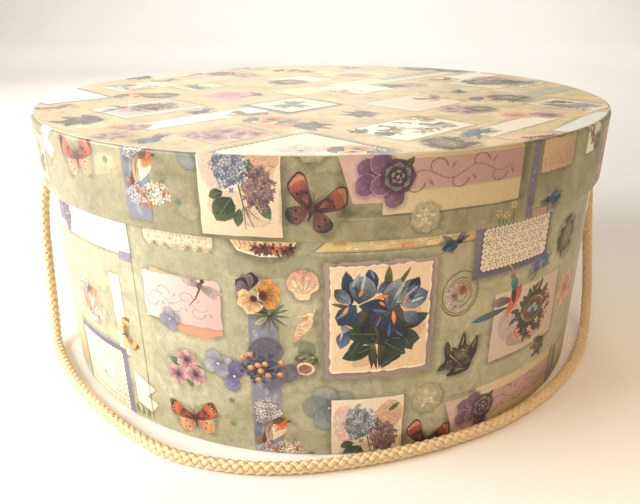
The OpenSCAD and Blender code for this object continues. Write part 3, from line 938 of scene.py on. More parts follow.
def torn_scrap(p):
    """The torn lower edge of a cream scrap with brown and red flowers."""
    shape = np.array([
        (-13, 0.2), (-12.5, -1), (-10, -4.5), (-6, -5.6), (-1, -6.6), (6, -6.4), (10, -4.4), (12.4, -1),
        (13, 0.2),
    ])
    tones = (("#5c2420", "#b05a4a"), ("#2c1c1a", "#7a463c"), ("#8d4a34", "#d08868"), ("#6a2c34", "#c87a78"))
    p.shade(shape, 2.4, 0.6, (0.3, -0.8))
    p.fill(shape, "#f5ead2")
    p.fill(shape * (0.95, 0.86), ("#e6cba2", "#dab48a", (0, 0), (0, -6)))
    for k in range(9):
        x, y = -3 + 1.7 * k, -2.9 - 1.2 * (k % 2)
        p.bloom(x, y, 2.3, 5, *p.rng.choice(tones))
        p.petal(x, y - 0.5, 2.6, 1.1, p.rng.uniform(200, 340), "#2c2a20", "#6c6048", 1.0)
        p.blob(x, y, 0.6, 0.6, "#2a1814")
    for x in (-9, -7, -5.4):
        p.line([(x, -0.6), (x + 0.6, -2), (x - 0.4, -4)], 0.5, "#a86a50", 0.8)


def ribbon(p, width, height=8.0):
    """A strip of yellow checked ribbon with slanted ends."""
    half, half_h, check, thread = width / 2, height / 2, 5.2, 2.1
    shape = [(-half, -half_h), (half, -half_h), (half - 4, half_h), (-half + 5, half_h)]
    p.shade(shape, 1.8, 0.55)
    p.fill(shape, ("#e8d79e", "#dcc284", (-half, 0), (half, 0)))
    for i in range(int((width - 12) / check)):
        for row in range(int(height / 2.2)):
            if (i + row) % 2:
                x, y = -half + 7 + check * i, -half_h + 0.3 + thread * row
                top = min(y + thread, half_h - 0.2)
                tone = "#f0e2b8" if i % 5 else "#dc9a70"
                p.fill([(x, y), (x + check, y), (x + check, top), (x, top)], tone, 0.7)
    for y in (0.35 - half_h, half_h - 0.35):
        p.line([(-half + 4, y), (0, y), (half - 4, y)], 0.35, "#b8985a", 0.8, 1.0)


def blue_beetle(p):
    p.shade(p.oval(0, 0, 6, 3.4), 1.6, 0.45)
    for turn in (20, 45, 150, 175):
        p.petal(1.0, 0.5, 8.5, 2.2, turn, "#3c4448", "#8f8f80", 1.0, 4, "#2c3436", 0.75)
    p.petal(-5.5, -2.2, 9.0, 5.4, 16, "#14283c", "#2f5a78", 1.1, 4, "#10202c")
    p.petal(-4.5, -3.0, 6.0, 2.6, 10, "#4f7a94", "#20405a", 1.1)
    p.blob(3.4, 0.8, 1.6, 1.3, "#121c24")
    for points in (
        [(4.6, 1.4), (7, 2.6), (9.4, 1.8)], [(4.4, 1.8), (6.4, 4.0), (8.6, 4.8)],
        [(-3, -2), (-5, -4), (-7, -4.4)], [(0, -2), (-0.4, -4.2), (1.6, -5)],
    ):
        p.line(points, 0.5, "#1c2022")


def dark_wreath(p):
    """An oval wreath of dark leaves with pale flecks round a paler oval."""
    tones = (("#211d1a", "#4c4438"), ("#2c2024", "#5c4a46"), ("#1f261c", "#4c5a3c"), ("#4c4434", "#a59a78"))
    p.shade(p.oval(0, 0, 10.5, 11), 2.4, 0.5)
    p.blob(0, -0.5, 8.5, 9.0, ("#a8946a", "#4c4434", (0, 1), 8))
    for a in range(0, 360, 10):
        x, y = polar(7.6 * p.rng.uniform(0.75, 1.05), a, 8.2 / 7.6)
        dark, light = p.rng.choice(tones)
        p.petal(x, y, 4.8, 2.6, a + p.rng.uniform(30, 100), dark, light, 1.0, 2, "#1a1715")
    each(p.bloom, ((-1.5, -9.5), (2, -9.0), (4.5, 8), (-6, 6.5), (7, -3)), 1.7, 5, "#8a5a4c", "#d0a890")
    for x, y in p.scatter(0, 0, 4.5, 5, 14):
        p.blob(x, y, 1.0, 0.7, p.rng.choice(("#7a6a48", "#c8b88c", "#57492f", "#3c3428")), 30, 0.7, 7)


def forget_me_nots(p):
    p.shade(p.oval(0, 0, 9, 3.6, 12), 1.6, 0.4)
    for turn in (170, 190, 10, -20, 215):
        p.petal(0, -0.5, 9.5, 1.6, turn, "#3c4a30", "#7f8a5c", 1.0, 1)
    p.florets(0.5, 0.6, 7.5, 2.4, 26, ("#4c7090", "#7090ac", "#345a80", "#94a8b8"), 1.25)


def sand_dollar(p):
    """A pale urchin shell with a scalloped edge and five fine petals."""
    outline = np.array([polar(6.4 + 0.35 * math.cos(math.tau * k / 4), 10 * k) for k in range(36)])
    p.shade(outline, 1.5, 0.45)
    p.fill(outline * 1.04, "#a2997a", 0.6)
    p.fill(outline, ("#c9c29c", "#b9b08c", (-1, 2), 7), 0.65)
    for k in range(5):
        p.petal(0, 0, 4.4, 1.6, 90 + 72 * k, "#b0a684", "#ddd3b4", 1.2, 1, "#e0d8bc")
        p.petal(0.3, 0, 2.6, 0.8, 54 + 72 * k, "#dcd3b4", "#d2c8a8", 1.2)


def rose(p):
    """A dark violet rose on round violet petals."""
    for x, y, turn in (
        (-10.5, 3.2, 0), (-6.0, 5.4, 60), (-11.5, -2.6, 40), (-1, -7.4, 70), (-5.5, -2.6, 20),
    ):
        outline = p.oval(x, y, 4.3, 3.8, turn, 14, 0.05)
        p.shade(outline, 1.4, 0.4)
        p.fill((outline - (x, y)) * 1.07 + (x, y), "#c9a8b8", 0.7)
        p.fill(outline, ("#523650", "#84617e", (x + 2, y), 5.5), 0.92)
    p.shade(p.oval(0, 0, 5.4, 5.2), 1.8, 0.5)
    for ring, (n, reach) in enumerate(((7, 6.2), (6, 4.8), (6, 3.6), (5, 2.4), (4, 1.4))):
        tip = ("#6c4a64", "#8f8a80", "#5c4258", "#a89c90", "#4a3446")[ring]
        length, width = 0.85 * reach, 0.95 * reach
        for k in range(n):
            a = 360 * k / n + 27 * ring
            p.petal(*polar(0.25 * reach, a), length, width, a, "#1e131d", tip, 1.6, 2, "#241722")
    p.leaf(3.0, 3.4, 4.5, 2.2, 50, "#2a2f26", "#5c6450")


def spring_label(p):
    """A long dusty pink label between cream strips, with a scroll and a violet rose."""
    p.shade([(-37, -12), (37, -12), (37, 12), (-37, 12)], 2.6, 0.5)
    p.fill(p.torn(-22, -12.5, 36, 12.5, 0.15, 6), ("#ddcda4", "#c9b58a", (-20, 0), (36, 0)))
    band = [(-31, -3.6), (36, -3.6), (36, 7.6), (-38, 7.6)]
    p.shade(band, 1.0, 0.3)
    p.fill(band, ("#d0aaa2", "#b28d86", (-30, 0), (36, 0)))
    p.fill([(-33, -8.0), (-20, -8.0), (-20, 9.5), (-38.5, 9.5)], "#dcb8ae", 0.9)
    flourish(p.at(9, 1.6, 2), 44, 12.5, "#85606a")
    rose(p.at(-17, 1.2))


def stripe(p, x0, y0, x1, y1, base, light, dark):
    """A strip of marbled paper."""
    p.card(x0, y0, x1, y1, base, 0.15, 6, 1.4)
    wide, tall = x1 - x0, y1 - y0
    for k in range(int(wide * tall / 22)):
        x, y = p.rng.uniform(x0 + 1.6, x1 - 1.6), p.rng.uniform(y0 + 2.5, y1 - 2.5)
        rx, ry, turn = p.rng.uniform(0.7, 1.5), p.rng.uniform(1.0, 2.4), p.rng.uniform(-40, 40)
        p.blob(x, y, rx, ry, light if k % 2 else dark, turn, 0.35, 8, 0.3)


def stamp(p):
    """A sand-coloured scrap with a faint engraved bush."""
    p.card(-11, -6.5, 11, 6.5, ("#cdb08a", "#b89a76", (-8, 5), (9, -5)), 0.3, 1.6, 1.6)
    for k in range(16):
        x = -9 + 1.2 * k
        middle = (x + p.rng.uniform(-1, 1), -1)
        tip = (x + p.rng.uniform(-1.6, 1.6), p.rng.uniform(1.5, 4.8))
        p.line([(x, -4.6), middle, tip], 0.35, "#8d7454", 0.7)


def berries_on_card(p):
    """A white card with gilt leaves and small butterflies."""
    p.card(-23, -15, 23, 15, ("#f6f0e2", "#ece0c8", (-20, 12), (20, -12)), 0.2, 5, 2.2)
    gilt = (("#7c5a34", "#d8b06c"), ("#8f6f38", "#e6c885"), ("#5f5a44", "#a59a70"), ("#a06a58", "#dcae98"))
    for _ in range(18):
        x, y = p.rng.uniform(-19, 19), p.rng.uniform(-11, 11)
        dark, light = p.rng.choice(gilt)
        turn = p.rng.uniform(0, 360)
        p.petal(x, y, 6.5, 2.4, turn, dark, light, 1.1, 2, dark)
        p.petal(x, y, 5.5, 2.2, turn + 55, dark, light, 1.1, 1)
    butterfly(p.at(-9, 3, 20, 0.5), "#7a5a34", "#c9964a", "#4a3a2a", "#e3c07c", "#b08a54", 30)
    butterfly(p.at(11, -3, -30, 0.45), "#5c586a", "#8f8a9a", "#3a3440", "#c4bccb", "#7a7488", 30)


def coral_bloom(p):
    """One big peach petal flower."""
    p.shade(p.oval(0, 0, 8, 7), 1.8, 0.4)
    for k in range(6):
        p.petal(0, 0, 9, 7, 60 * k + 12, "#b5614f", "#eebda0", 1.5, 5, "#b0705c", frill=0.08)
    p.blob(0, 0, 2.0, 2.0, ("#5c3428", "#b88a4c", (0, 0), 2))


def meadow(p, width):
    """Grasses and small yellow flowers standing in a row."""
    n = int(width / 1.6)
    for k in range(n):
        x = -width / 2 + width * (k + 0.5) / n
        lean, tall = p.rng.uniform(-14, 14), p.rng.uniform(4, 9)
        p.petal(x, -4, tall, 1.1, 90 + lean, "#4a5a38", "#848f5c", 1.0, 0)
        if k % 2 == 0:
            p.bloom(*np.add((x, -4), polar(tall, 90 + lean)), 1.8, 5, "#a8743a", "#f0d8a0")


def dots(p, *spots):
    for x, y in spots:
        p.blob(x, y, 1.4, 1.4, ("#3f6a48", "#5c8060", (x, y), 1.5), 0, 0.85, 10)


# ------------------------------------------------------------ the printed patterns

PERIOD_Y = 112.0  # the pattern repeats up the paper every this many millimetres


def clouds(p, n, wide, low, high, tones, alpha):
    """Faint patches of other tones on the bare ground."""
    for _ in range(n):
        x, y = p.rng.uniform(-wide, wide), p.rng.uniform(low, high)
        rx, ry = p.rng.uniform(3, 10), p.rng.uniform(2, 6)
        tone, turn = p.rng.choice(tones), p.rng.uniform(-30, 30)
        p.blob(x, y, rx, ry, tone, turn, alpha, 12, 0.3)


def pattern(p):
    """One repeat of the scrap-paper pattern: x from -154 to 154, the box's foot at y = 0."""
    clouds(p, 70, 150, -4, 104, ("#cdc79a", "#9a966a", "#dcd2a6", "#8c8a60", "#a39a74"), 0.26)
    # Patches of other tones on the ground. The dark one from x -34 to 26, just under the lid's rim, is
    # partly the print's own darker ground and partly painted shade under the rim. The darkest, from x 118
    # to 160 low down, also comes on the rim's right side, where it is partly painted shade.
    for x0, y0, x1, y1, tone in (
        (46, 84, 70, 108, "#b8ae84"), (-34, 84, 26, 94, "#6f6c4c"), (118, -10, 160, 22, "#66683f"),
        (46, 24, 54, 94, "#c2b98c"), (70, 60, 84, 84, "#b3a678"), (27, 30, 46, 38, "#938f68"),
        (-75, 84, -40, 92, "#a39e76"), (-84, 26, -76, 60, "#c8c095"), (118, 60, 136, 72, "#b9ae82"),
    ):
        p.fill(p.torn(x0, y0, x1, y1, 0.8, 4), tone, 0.3)
    stripe(p, -27.5, -8, -15.5, 68, "#858798", "#b9bbc2", "#5c6072")
    stripe(p, 137, -12, 140.4, 20, "#746b80", "#9a919e", "#595268")
    p.card(-98, 34, -91, 74, "#f1e9d2", 0.2, 5, 1.4)
    ribbon(p.at(34, 97.6), 69, 4.4)
    lace_strip(p.at(-56, 98), 32)
    torn_scrap(p.at(-20, 99.6))
    lace_card(p.at(88, 89.6), 38, 17)
    iris_card(p.at(25.5, 65.5))
    nature_label(p.at(-57.3, 68.8, 0, 0.95))
    pansies(p.at(-21.5, 74.5, 0, 0.87))
    scallop_shell(p.at(-5, 81.8))
    whelk(p.at(-5, 64))
    broken_shell(p.at(-4.5, 46.5))
    round_petals(p.at(-42, 43, 25), ("#c2c6d4", "#b1b6ca", "#c9ccd4", "#a9aec4"), 0.5, 4, 6.0)
    round_petals(p.at(-35, 38, 70), ("#7a6f9a", "#8d86aa"), 0.8, 2, 6.5, "#57507a")
    berry_spray(p.at(-22, 44))
    flower_trio(p.at(-58, 37))
    butterfly(p.at(-56, 12, 9, 0.88), "#a04c3a", "#cd7048", "#383334", "#e2b08a", "#d98c5c", 24)
    dots(p, (-37, 25.5), (-37, 13.5), (-3, 1))
    round_petals(p.at(5, 25, 40), ("#9aa4a6", "#adb4ae", "#8a959a"), 0.55, 5, 9.5, "#6c7a80")
    lilac_card(p.at(21.5, 9.5))
    robin(p.at(-18, 13, 0, 1.05))
    spiral_shell(p.at(59.5, 73))
    dark_orchid(p.at(62.5, 43, 0, 0.86))
    sand_dollar(p.at(48, 25, 10, 1.1))
    butterfly(p.at(48, 1, -19, 0.9), "#64403a", "#b2604a", "#cc8a6c", "#80584e", "#1d2c36", 40)
    spring_label(p.at(95.5, 10.8))
    nest_card(p.at(101.5, 51.5))
    blue_beetle(p.at(54, 95.0, 0, 0.85))
    forget_me_nots(p.at(106, 75, 12))
    dark_wreath(p.at(128.5, 83, 0, 0.9))
    dark_orchid(p.at(115, 31, 90, 0.5))
    sand_dollar(p.at(90, -4, 0, 0.9))
    meadow(p.at(127, 103.5), 9)
    stamp(p.at(154, 13))
    coral_bloom(p.at(139, 53, 0, 1.1))
    blue_beetle(p.at(154, -6, 160))
    berries_on_card(p.at(-129, 20, 90, 0.5))
    meadow(p.at(-88, 6), 12)
    butterfly(p.at(-92, 45, -70, 0.6), "#b08838", "#e0b060", "#4a3a28", "#f0d090", "#d8a860", 30)
    coral_bloom(p.at(-120, 54, 0, 1.3))
    robin(p.at(-119, 55, 20, 0.9))
    p.card(-150, 85, -81, 99.8, "#f4ecdc", 0.15, 6, 2.0)
    rose(p.at(-131, 93, 0, 0.8))
    flourish(p.at(-104, 93), 36, 9, "#b59aa4")
    p.card(-88, 82.5, -81, 86.5, "#8f86a4", 0.15, 3, 0.8)
    scrap = [(-90, 10), (-81, 7), (-77, 12), (-83, 15), (-77.5, 20), (-90, 27)]
    p.shade(scrap, 1.6, 0.4)
    p.fill(scrap, "#f1e9d2")


def wall_extras(p):
    """What is on the wall's paper and not on the rim's."""
    lace_card(p.at(-117, 15, 180), 38, 36)


def rim_extras(p):
    """What is on the rim's paper and not on the wall's."""
    p.card(-110, -6, -92, 15, ("#dcc2a4", "#c9a384", (-110, 15), (-92, -6)), 0.3, 3, 2.4)
    for x, y, size in ((-103, 8, 0.9), (-98, 1, 0.7), (-106, 0, 0.6)):
        coral_bloom(p.at(x, y, 40 * size, size))
    for turn in (200, 250, 300, 20):
        p.leaf(-101.2, 3.3, 8, 3, turn)
    dark_wreath(p.at(-124, 12, 20, 0.4))
    p.card(141.5, -14, 150.5, -8.3, "#b08d84", 0.2, 3, 1.6)


def lid_pattern(p):
    """The lid's top, cut from paper of the same set laid slantwise: x to the right, y to the back."""
    clouds(p, 230, 150, -150, 150, ("#e6cf98", "#dcb984", "#f0e4bc", "#b5a678", "#e4bc90"), 0.36)
    for x, y, wide, tall, turn, paint in (
        (-51, -73, 15, 66, -45, "#f6f0e2"), (-146, -1, 60, 36, -48, "#8f86a4"),
        (-148, 0, 60, 34, -48, "#f0e4dc"), (-84, -47, 44, 34, 45, "#f4eadb"),
        (40, 60, 20, 170, -45, "#f1e0b4"), (-70, 70, 22, 130, -45, "#ecc896"),
        (85, -92, 12, 60, -45, "#efe6cc"), (112, 90, 20, 90, -45, "#f5eed8"),
        (0, 105, 16, 70, 45, "#f0d6ac"), (20, 20, 30, 34, 45, "#f6eed4"),
        (48, -34, 40, 34, 45, "#ecc8b0"), (-36, -111, 28, 26, 45, "#eab896"),
        (-100, 100, 34, 60, -45, "#edc9ae"), (66, 90, 10, 80, -45, "#a8a78f"),
        (118, -88, 14, 56, -38, "#e0e4da"), (104, 44, 44, 36, 45, "#ecd8ba"),
        (22, 88, 36, 34, 45, "#f2dcb4"), (-74, 32, 26, 22, 45, "#d9cfa8"),
        (-110, 34, 40, 26, 45, "#f0dec0"), (128, 4, 10, 60, -45, "#b0ae98"),
        (-14, 62, 30, 30, 45, "#efe4cc"),
    ):
        p.at(x, y, turn).card(-wide / 2, -tall / 2, wide / 2, tall / 2, paint, 0.3, 5, 2.4)
    lace_card(p.at(-5, -141, 45), 44, 42)
    berries_on_card(p.at(40, -98, 45))
    lace_card(p.at(-13, -38, 45), 32, 30)
    lilac_card(p.at(124, -42, 225, 0.85))
    for motif, x, y, turn, size in (
        (nest_card, -84, -46, 45, 0.8), (flower_trio, -36, -111, 20, 1.25),
        (flower_trio, -47, -112, 60, 0.7), (striped_flower, -24, -111, 0, 1.0),
        (coral_bloom, -86, -96, 0, 0.5), (flower_trio, -77, -96, 60, 0.75),
        (dark_orchid, -107, -79, 60, 1.0), (coral_bloom, -15, -87, 10, 1.35),
        (pansies, -20, -82, 45, 0.9), (dark_orchid, -2, -95, 240, 0.75), (dark_wreath, 50, -129, 45, 1.0),
        (coral_bloom, 8, -139, 0, 0.6), (pansies, 16, -141, 45, 0.8), (dark_orchid, 19, -65, 60, 0.75),
        (dark_orchid, 17, -106, 20, 0.4), (dark_orchid, 27, -112, 90, 0.35),
        (coral_bloom, 42, -76, 0, 0.8), (pansies, 47, -78, 0, 0.5), (flower_trio, 68, -56, 70, 1.15),
        (dark_wreath, 78, -54, 10, 0.7), (coral_bloom, 90, -71, 30, 0.9),
        (striped_flower, 104, -71, 0, 1.5), (pansies, 94, -24, 45, 1.1), (dark_wreath, 100, -18, 45, 1.0),
        (flower_trio, -81, -114, 0, 0.8), (robin, -116, 32, 45, 1.2), (pansies, -98, -5, 60, 1.1),
        (dark_wreath, -88, -5, 60, 0.9), (spiral_shell, 14, 8, 45, 1.0), (flower_trio, 55, 33, 10, 0.9),
        (dark_orchid, 42, 30, 120, 0.7), (rose, -38, -1, 45, 0.8), (dark_wreath, -21, 50, 45, 1.1),
        (nest_card, -72, 95, 45, 0.8), (flower_trio, -52, 86, 45, 1.1), (coral_bloom, 22, 84, 45, 1.6),
        (dark_wreath, 70, 124, 45, 1.2), (dark_wreath, 92, 112, 45, 1.2), (pansies, -20, 112, 45, 1.1),
        (dark_orchid, -124, 78, 45, 0.9), (forget_me_nots, 64, -110, 45, 1.3), (robin, -55, 132, 45, 1.0),
        (torn_scrap, 82, -116, 20, 0.9), (sand_dollar, 62, 2, 0, 1.0), (blue_beetle, 78, 4, 60, 1.1),
        (blue_beetle, -56, -58, 45, 1.2), (scallop_shell, 2, 30, 45, 0.9),
        (forget_me_nots, -76, 30, 120, 1.3), (coral_bloom, 120, 95, 0, 1.2),
        (flower_trio, 20, 132, 45, 0.9), (blue_beetle, -64, -121, 45, 1.3),
        (iris_card, 116, 44, 225, 0.7), (dark_wreath, 100, 46, 0, 1.2), (flower_trio, 108, 62, 0, 1.1),
    ):
        motif(p.at(x, y, turn, size))
    for x, y, turn in ((80, 60, 45), (-100, 60, 45), (-34, -66, -20), (-130, -45, 45), (60, -20, 45)):
        butterfly(p.at(x, y, turn, 0.7), "#7a5a3a", "#b98a50", "#4a3a2c", "#dcc08c", "#a98a58", 30)
    round_petals(p.at(-51, -6, 20), ("#e0a4ac", "#d898a4", "#e6b4b4"), 0.7, 4, 12, "#b87a88")
    for turn in (60, 85, 110, 200, 225, 250, 300, 330):
        p.leaf(-14, -38, 12, 4, turn, "#4c5c48", "#8a9678")


def drawn(artist, seed, finest):
    """The shapes that a pattern is made of, without those smaller than the finest."""
    shapes = []
    artist(Pen(shapes, random.Random(seed)))
    return [s for s in shapes if s.halo or area(s.outline) > finest]


def copies(shapes, places, low, high):
    """The shapes at each (x, y, turn), leaving out those outside low to high."""
    middles = np.array([s.outline.mean(axis=0) for s in shapes])
    reach = np.array([np.ptp(s.outline, axis=0).max() for s in shapes])[:, None]
    out = []
    for x, y, turn in places:
        at = turned(middles, turn) + (x, y)
        seen = ((at > low - reach) & (at < high + reach)).all(axis=1)
        out += [shapes[i].moved(turn, np.array([x, y])) for i in np.flatnonzero(seen)]
    return out


# ------------------------------------------------------------ sheets of paper

PLAIN = "#efe8d8"  # the unprinted side
PAPER = 0.25  # millimetres, as are the rest
GRID = 5.0  # the widest step between points
TURN_IN = 12.0  # how far a strip goes on past each edge
LAP = 14.0  # how far a strip's ends lie over each other
BEND, EDGE_BEND = 1.15, 0.5  # radius of the turn round a board's corner, and round its bare edge


def split_long(points, most):
    """The closed outline with points added so that no side is longer than most."""
    out = []
    for a, b in zip(points, np.roll(points, -1, axis=0)):
        n = max(1, math.ceil(math.hypot(*(b - a)) / most))
        out += [a + (b - a) * i / n for i in range(n)]
    return np.array(out)


def cut(loops, lines=(), marks=()):
    """Triangles over the flat loops. Gives the points, the triangles, the loops that each
    triangle lies in, and where each given point went."""
    points, faces, edges = [], [], []
    for loop in loops:
        faces.append(list(range(len(points), len(points) + len(loop))))
        points.extend(loop)
    for line in lines:
        edges += [(len(points) + i, len(points) + i + 1) for i in range(len(line) - 1)]
        points.extend(line)
    points.extend(marks)
    found = delaunay_2d_cdt([Vector(p) for p in points], edges, faces, 1, 1e-5, True)
    places, _, triangles, came_from, _, inside = found
    went = {old: new for new, olds in enumerate(came_from) for old in olds}
    return np.array([tuple(v) for v in places]), triangles, inside, went


def painted(flat, front, inside, shapes, first, ground):
    """Colour with brushwork as its fourth part, and bareness, at the triangles' corners, the
    shapes laid on in order."""
    colour = np.zeros(front.shape + (4,))
    colour[..., :3] = ink(ground)
    bare = np.ones(front.shape)
    owners = np.repeat(np.arange(len(inside)), [len(loops) for loops in inside])
    loops = np.fromiter(chain.from_iterable(inside), int)
    order = np.lexsort((owners, loops))
    owners, loops = owners[order], loops[order]
    starts = np.flatnonzero(np.diff(loops, prepend=-1))
    a, b, c = (flat[front[:, k]] for k in range(3))
    sizes = 0.5 * np.abs(np.cross(b - a, c - a))
    for start, hit in zip(starts, np.split(owners, starts[1:])):
        if loops[start] < first:
            continue
        shape = shapes[loops[start] - first]
        if sizes[hit].sum() > 3 * area(shape.outline) + 10:
            continue  # the cut lost track of this outline and took the whole sheet as its inside
        used, back = np.unique(front[hit], return_inverse=True)
        back = back.reshape(-1, 3)
        cover = shape.cover(flat[used])[back]
        tint = np.concatenate([shape.colours(flat[used]), np.full((len(used), 1), shape.brush)], 1)
        colour[hit] += (tint[back] - colour[hit]) * cover[..., None]
        if shape.halo is None:
            bare[hit] *= 1 - cover
    return colour, bare


def rim_loops(triangles):
    """The loops of points round the edge of a patch of triangles."""
    a, b = triangles.ravel(), np.roll(triangles, -1, axis=1).ravel()
    most = triangles.max() + 1
    open_side = ~np.isin(a * most + b, b * most + a)
    after = dict(zip(a[open_side].tolist(), b[open_side].tolist()))
    loops = []
    while after:
        start, here = after.popitem()
        loop = [start]
        while here != start:
            loop.append(here)
            here = after.pop(here)
        loops.append(loop)
    return loops


def outward(flat, place, step=0.05):
    """The printed side's direction at each flat point, once it is in place."""
    across = place(flat + (step, 0)) - place(flat - (step, 0))
    along = place(flat + (0, step)) - place(flat - (0, step))
    return unit(np.cross(across, along))


def make_sheet(name, outline, holes, shapes, lines, marks, place, material, ground):
    """A printed sheet as a thin closed shell: printed in front, plain behind and on its edges.
    place turns flat millimetres into millimetres on the box."""
    low, high = outline.min(axis=0), outline.max(axis=0)
    near = [
        s for s in shapes
        if (s.outline.max(axis=0) > low).all() and (s.outline.min(axis=0) < high).all()
    ]
    loops = [outline, *holes] + [split_long(s.outline, GRID + 1) for s in near]
    flat, triangles, inside, _ = cut(loops, lines, marks)
    voids = set(range(1, len(holes) + 1))
    keep = [i for i, loops_in in enumerate(inside) if 0 in loops_in and not voids.intersection(loops_in)]
    front = np.array([triangles[i] for i in keep])
    used, front = np.unique(front, return_inverse=True)
    front, flat = front.reshape(-1, 3), flat[used]
    colour, bare = painted(flat, front, [inside[i] for i in keep], near, len(holes) + 1, ground)

    edge = sorted(rim_loops(front), key=lambda loop: -abs(area(flat[loop])))
    back_loops = [edge[0]] + [loop[::-1] for loop in edge[1:]]
    back_flat, back_triangles, back_inside, went = cut([flat[loop] for loop in back_loops], lines, marks)
    back = np.array([t for t, loops_in in zip(back_triangles, back_inside) if loops_in == [0]])
    ends = [went[i] for i in range(sum(map(len, back_loops)))]
    behind = dict(zip([v for loop in back_loops for v in loop], ends))

    out, back_out = outward(flat, place), outward(back_flat, place)
    points = np.concatenate([place(flat), place(back_flat) - back_out * PAPER]) * MM
    walls, wall_out = [], []
    for loop in edge:
        for a, b in zip(loop, loop[1:] + loop[:1]):
            walls.append((b, a, behind[a] + len(flat), behind[b] + len(flat)))
            side = np.cross(points[b] - points[a], out[a])
            wall_out += [side / max(np.linalg.norm(side), 1e-12)] * 4

    back = back[:, ::-1]
    mesh = bpy.data.meshes.new(name)
    mesh.from_pydata(points.tolist(), [], front.tolist() + (back + len(flat)).tolist() + walls)
    mesh.shade_smooth()
    normals = np.concatenate([out[front.ravel()], -back_out[back.ravel()], wall_out])
    plain = 3 * len(back) + 4 * len(walls)
    tints = np.concatenate([colour.reshape(-1, 4), np.tile((*ink(PLAIN), 0.0), (plain, 1))])
    mesh.attributes.new("print", "FLOAT_COLOR", "CORNER").data.foreach_set("color", tints.ravel())
    bareness = np.concatenate([bare.ravel(), np.zeros(plain)])
    mesh.attributes.new("bare", "FLOAT", "CORNER").data.foreach_set("value", bareness)
    mesh.normals_split_custom_set(normals.tolist())
    mesh.materials.append(material)
    return put_in_scene(name, mesh)


class Fold:
    """The way a strip goes over its edges, seen in section: corners (radius, height) with a bend
    at each inner one. The strip's v is the height along its long outside run."""

    BEND_POINTS = 6
    FADE = 3.0  # the lap and the unevenness fade out over this many millimetres

    def __init__(self, corners, bends, outside, lap_u, lap):
        self.radius, self.lap_u, self.lap = corners[outside][0], lap_u, lap
        c = np.array(corners, float)
        path = [c[0]]
        for before, at, after, bend in zip(c, c[1:], c[2:], bends):
            a, b = unit(before - at), unit(after - at)
            for k in range(self.BEND_POINTS):
                x, y = polar(bend, 90 * k / (self.BEND_POINTS - 1))
                path.append(at + (a + b) * bend - b * x - a * y)
        self.path = np.array(path + [c[-1]])
        run = np.concatenate([[0], np.cumsum(np.linalg.norm(np.diff(self.path, axis=0), axis=1))])
        foot = self.BEND_POINTS * outside
        self.v = run - run[foot] + self.path[foot, 1]
        self.foot, self.head = self.v[foot], self.v[foot + 1]

    def place(self, flat):
        """Where flat points (u round the box, v up it) come to lie."""
        u, v = flat[:, 0], flat[:, 1]
        r, z = np.interp(v, self.v, self.path[:, 0]), np.interp(v, self.v, self.path[:, 1])
        outside = np.clip((v - self.foot) / self.FADE, 0, 1) * np.clip((self.head - v) / self.FADE, 0, 1)
        on_top = np.clip((u - self.lap_u) / self.FADE + 1, 0, 1) * self.lap
        uneven = 0.05 * np.sin(u / 17 + 1.3) * np.sin(v / 23 + u / 90) + 0.04 * np.sin(u / 41 + v / 31)
        r = r + outside * (on_top + uneven)
        a = u / self.radius
        return np.stack([r * np.sin(a), -r * np.cos(a), z], 1)


def make_strip(name, fold, u0, u1, holes, shapes, material, ground):
    """The part of a folded strip from u0 to u1."""
    columns = np.linspace(u0, u1, round((u1 - u0) / GRID) + 1)
    levels = [fold.v[0]]
    for a, b in zip(fold.v, fold.v[1:]):
        n = max(1, round((b - a) / 9))
        levels += [a + (b - a) * i / n for i in range(1, n + 1)]
    folds = [v for v in fold.v[1:-1] if v not in (levels[0], levels[-1])]
    outline = np.array(
        [(u, levels[0]) for u in columns[:-1]]
        + [(u1, v) for v in levels[:-1]]
        + [(u, levels[-1]) for u in columns[:0:-1]]
        + [(u0, v) for v in levels[:0:-1]]
    )
    lines = [[(u, v) for u in columns] for v in folds]
    marks = [(u, v) for v in levels[1:-1] if v not in folds for u in columns[1:-1]]
    return make_sheet(name, outline, holes, shapes, lines, marks, fold.place, material, ground)


# ------------------------------------------------------------ cord

CORD = 6.0  # diameter of the braided cord
ROUTE = [  # its centreline, in metres
    (-0.14425, 0, 0.090), (-0.150, 0, 0.090), (-0.156, -0.001, 0.0885), (-0.161, -0.002, 0.084),
    (-0.164, -0.004, 0.076), (-0.165, -0.007, 0.066), (-0.1645, -0.012, 0.055), (-0.163, -0.018, 0.043),
    (-0.161, -0.025, 0.030), (-0.1585, -0.033, 0.017), (-0.155, -0.043, 0.008), (-0.1505, -0.054, 0.0035),
    (-0.143, -0.068, 0.003), (-0.134, -0.082, 0.003), (-0.123, -0.097, 0.003), (-0.109, -0.113, 0.003),
    (-0.095, -0.127, 0.003), (-0.081, -0.139, 0.003), (-0.066, -0.149, 0.003), (-0.049, -0.155, 0.003),
    (-0.030, -0.1585, 0.003), (-0.010, -0.1585, 0.003), (0.010, -0.1555, 0.003), (0.030, -0.1505, 0.003),
    (0.049, -0.144, 0.003), (0.067, -0.136, 0.003), (0.084, -0.1265, 0.003), (0.100, -0.1145, 0.003),
    (0.115, -0.1005, 0.003), (0.128, -0.085, 0.003), (0.1395, -0.068, 0.003), (0.149, -0.050, 0.0045),
    (0.155, -0.035, 0.011), (0.158, -0.024, 0.023), (0.159, -0.015, 0.037), (0.159, -0.008, 0.052),
    (0.1585, -0.003, 0.066), (0.1575, -0.001, 0.078), (0.1535, 0, 0.0865), (0.14425, 0, 0.090),
]


def evenly(points, step):
    """Points every step along a line of points."""
    p = np.asarray(points, float)
    run = np.concatenate([[0], np.cumsum(np.linalg.norm(np.diff(p, axis=0), axis=1))])
    at = np.linspace(0, run[-1], round(run[-1] / step) + 1)
    return np.stack([np.interp(at, run, p[:, k]) for k in range(3)], 1), at


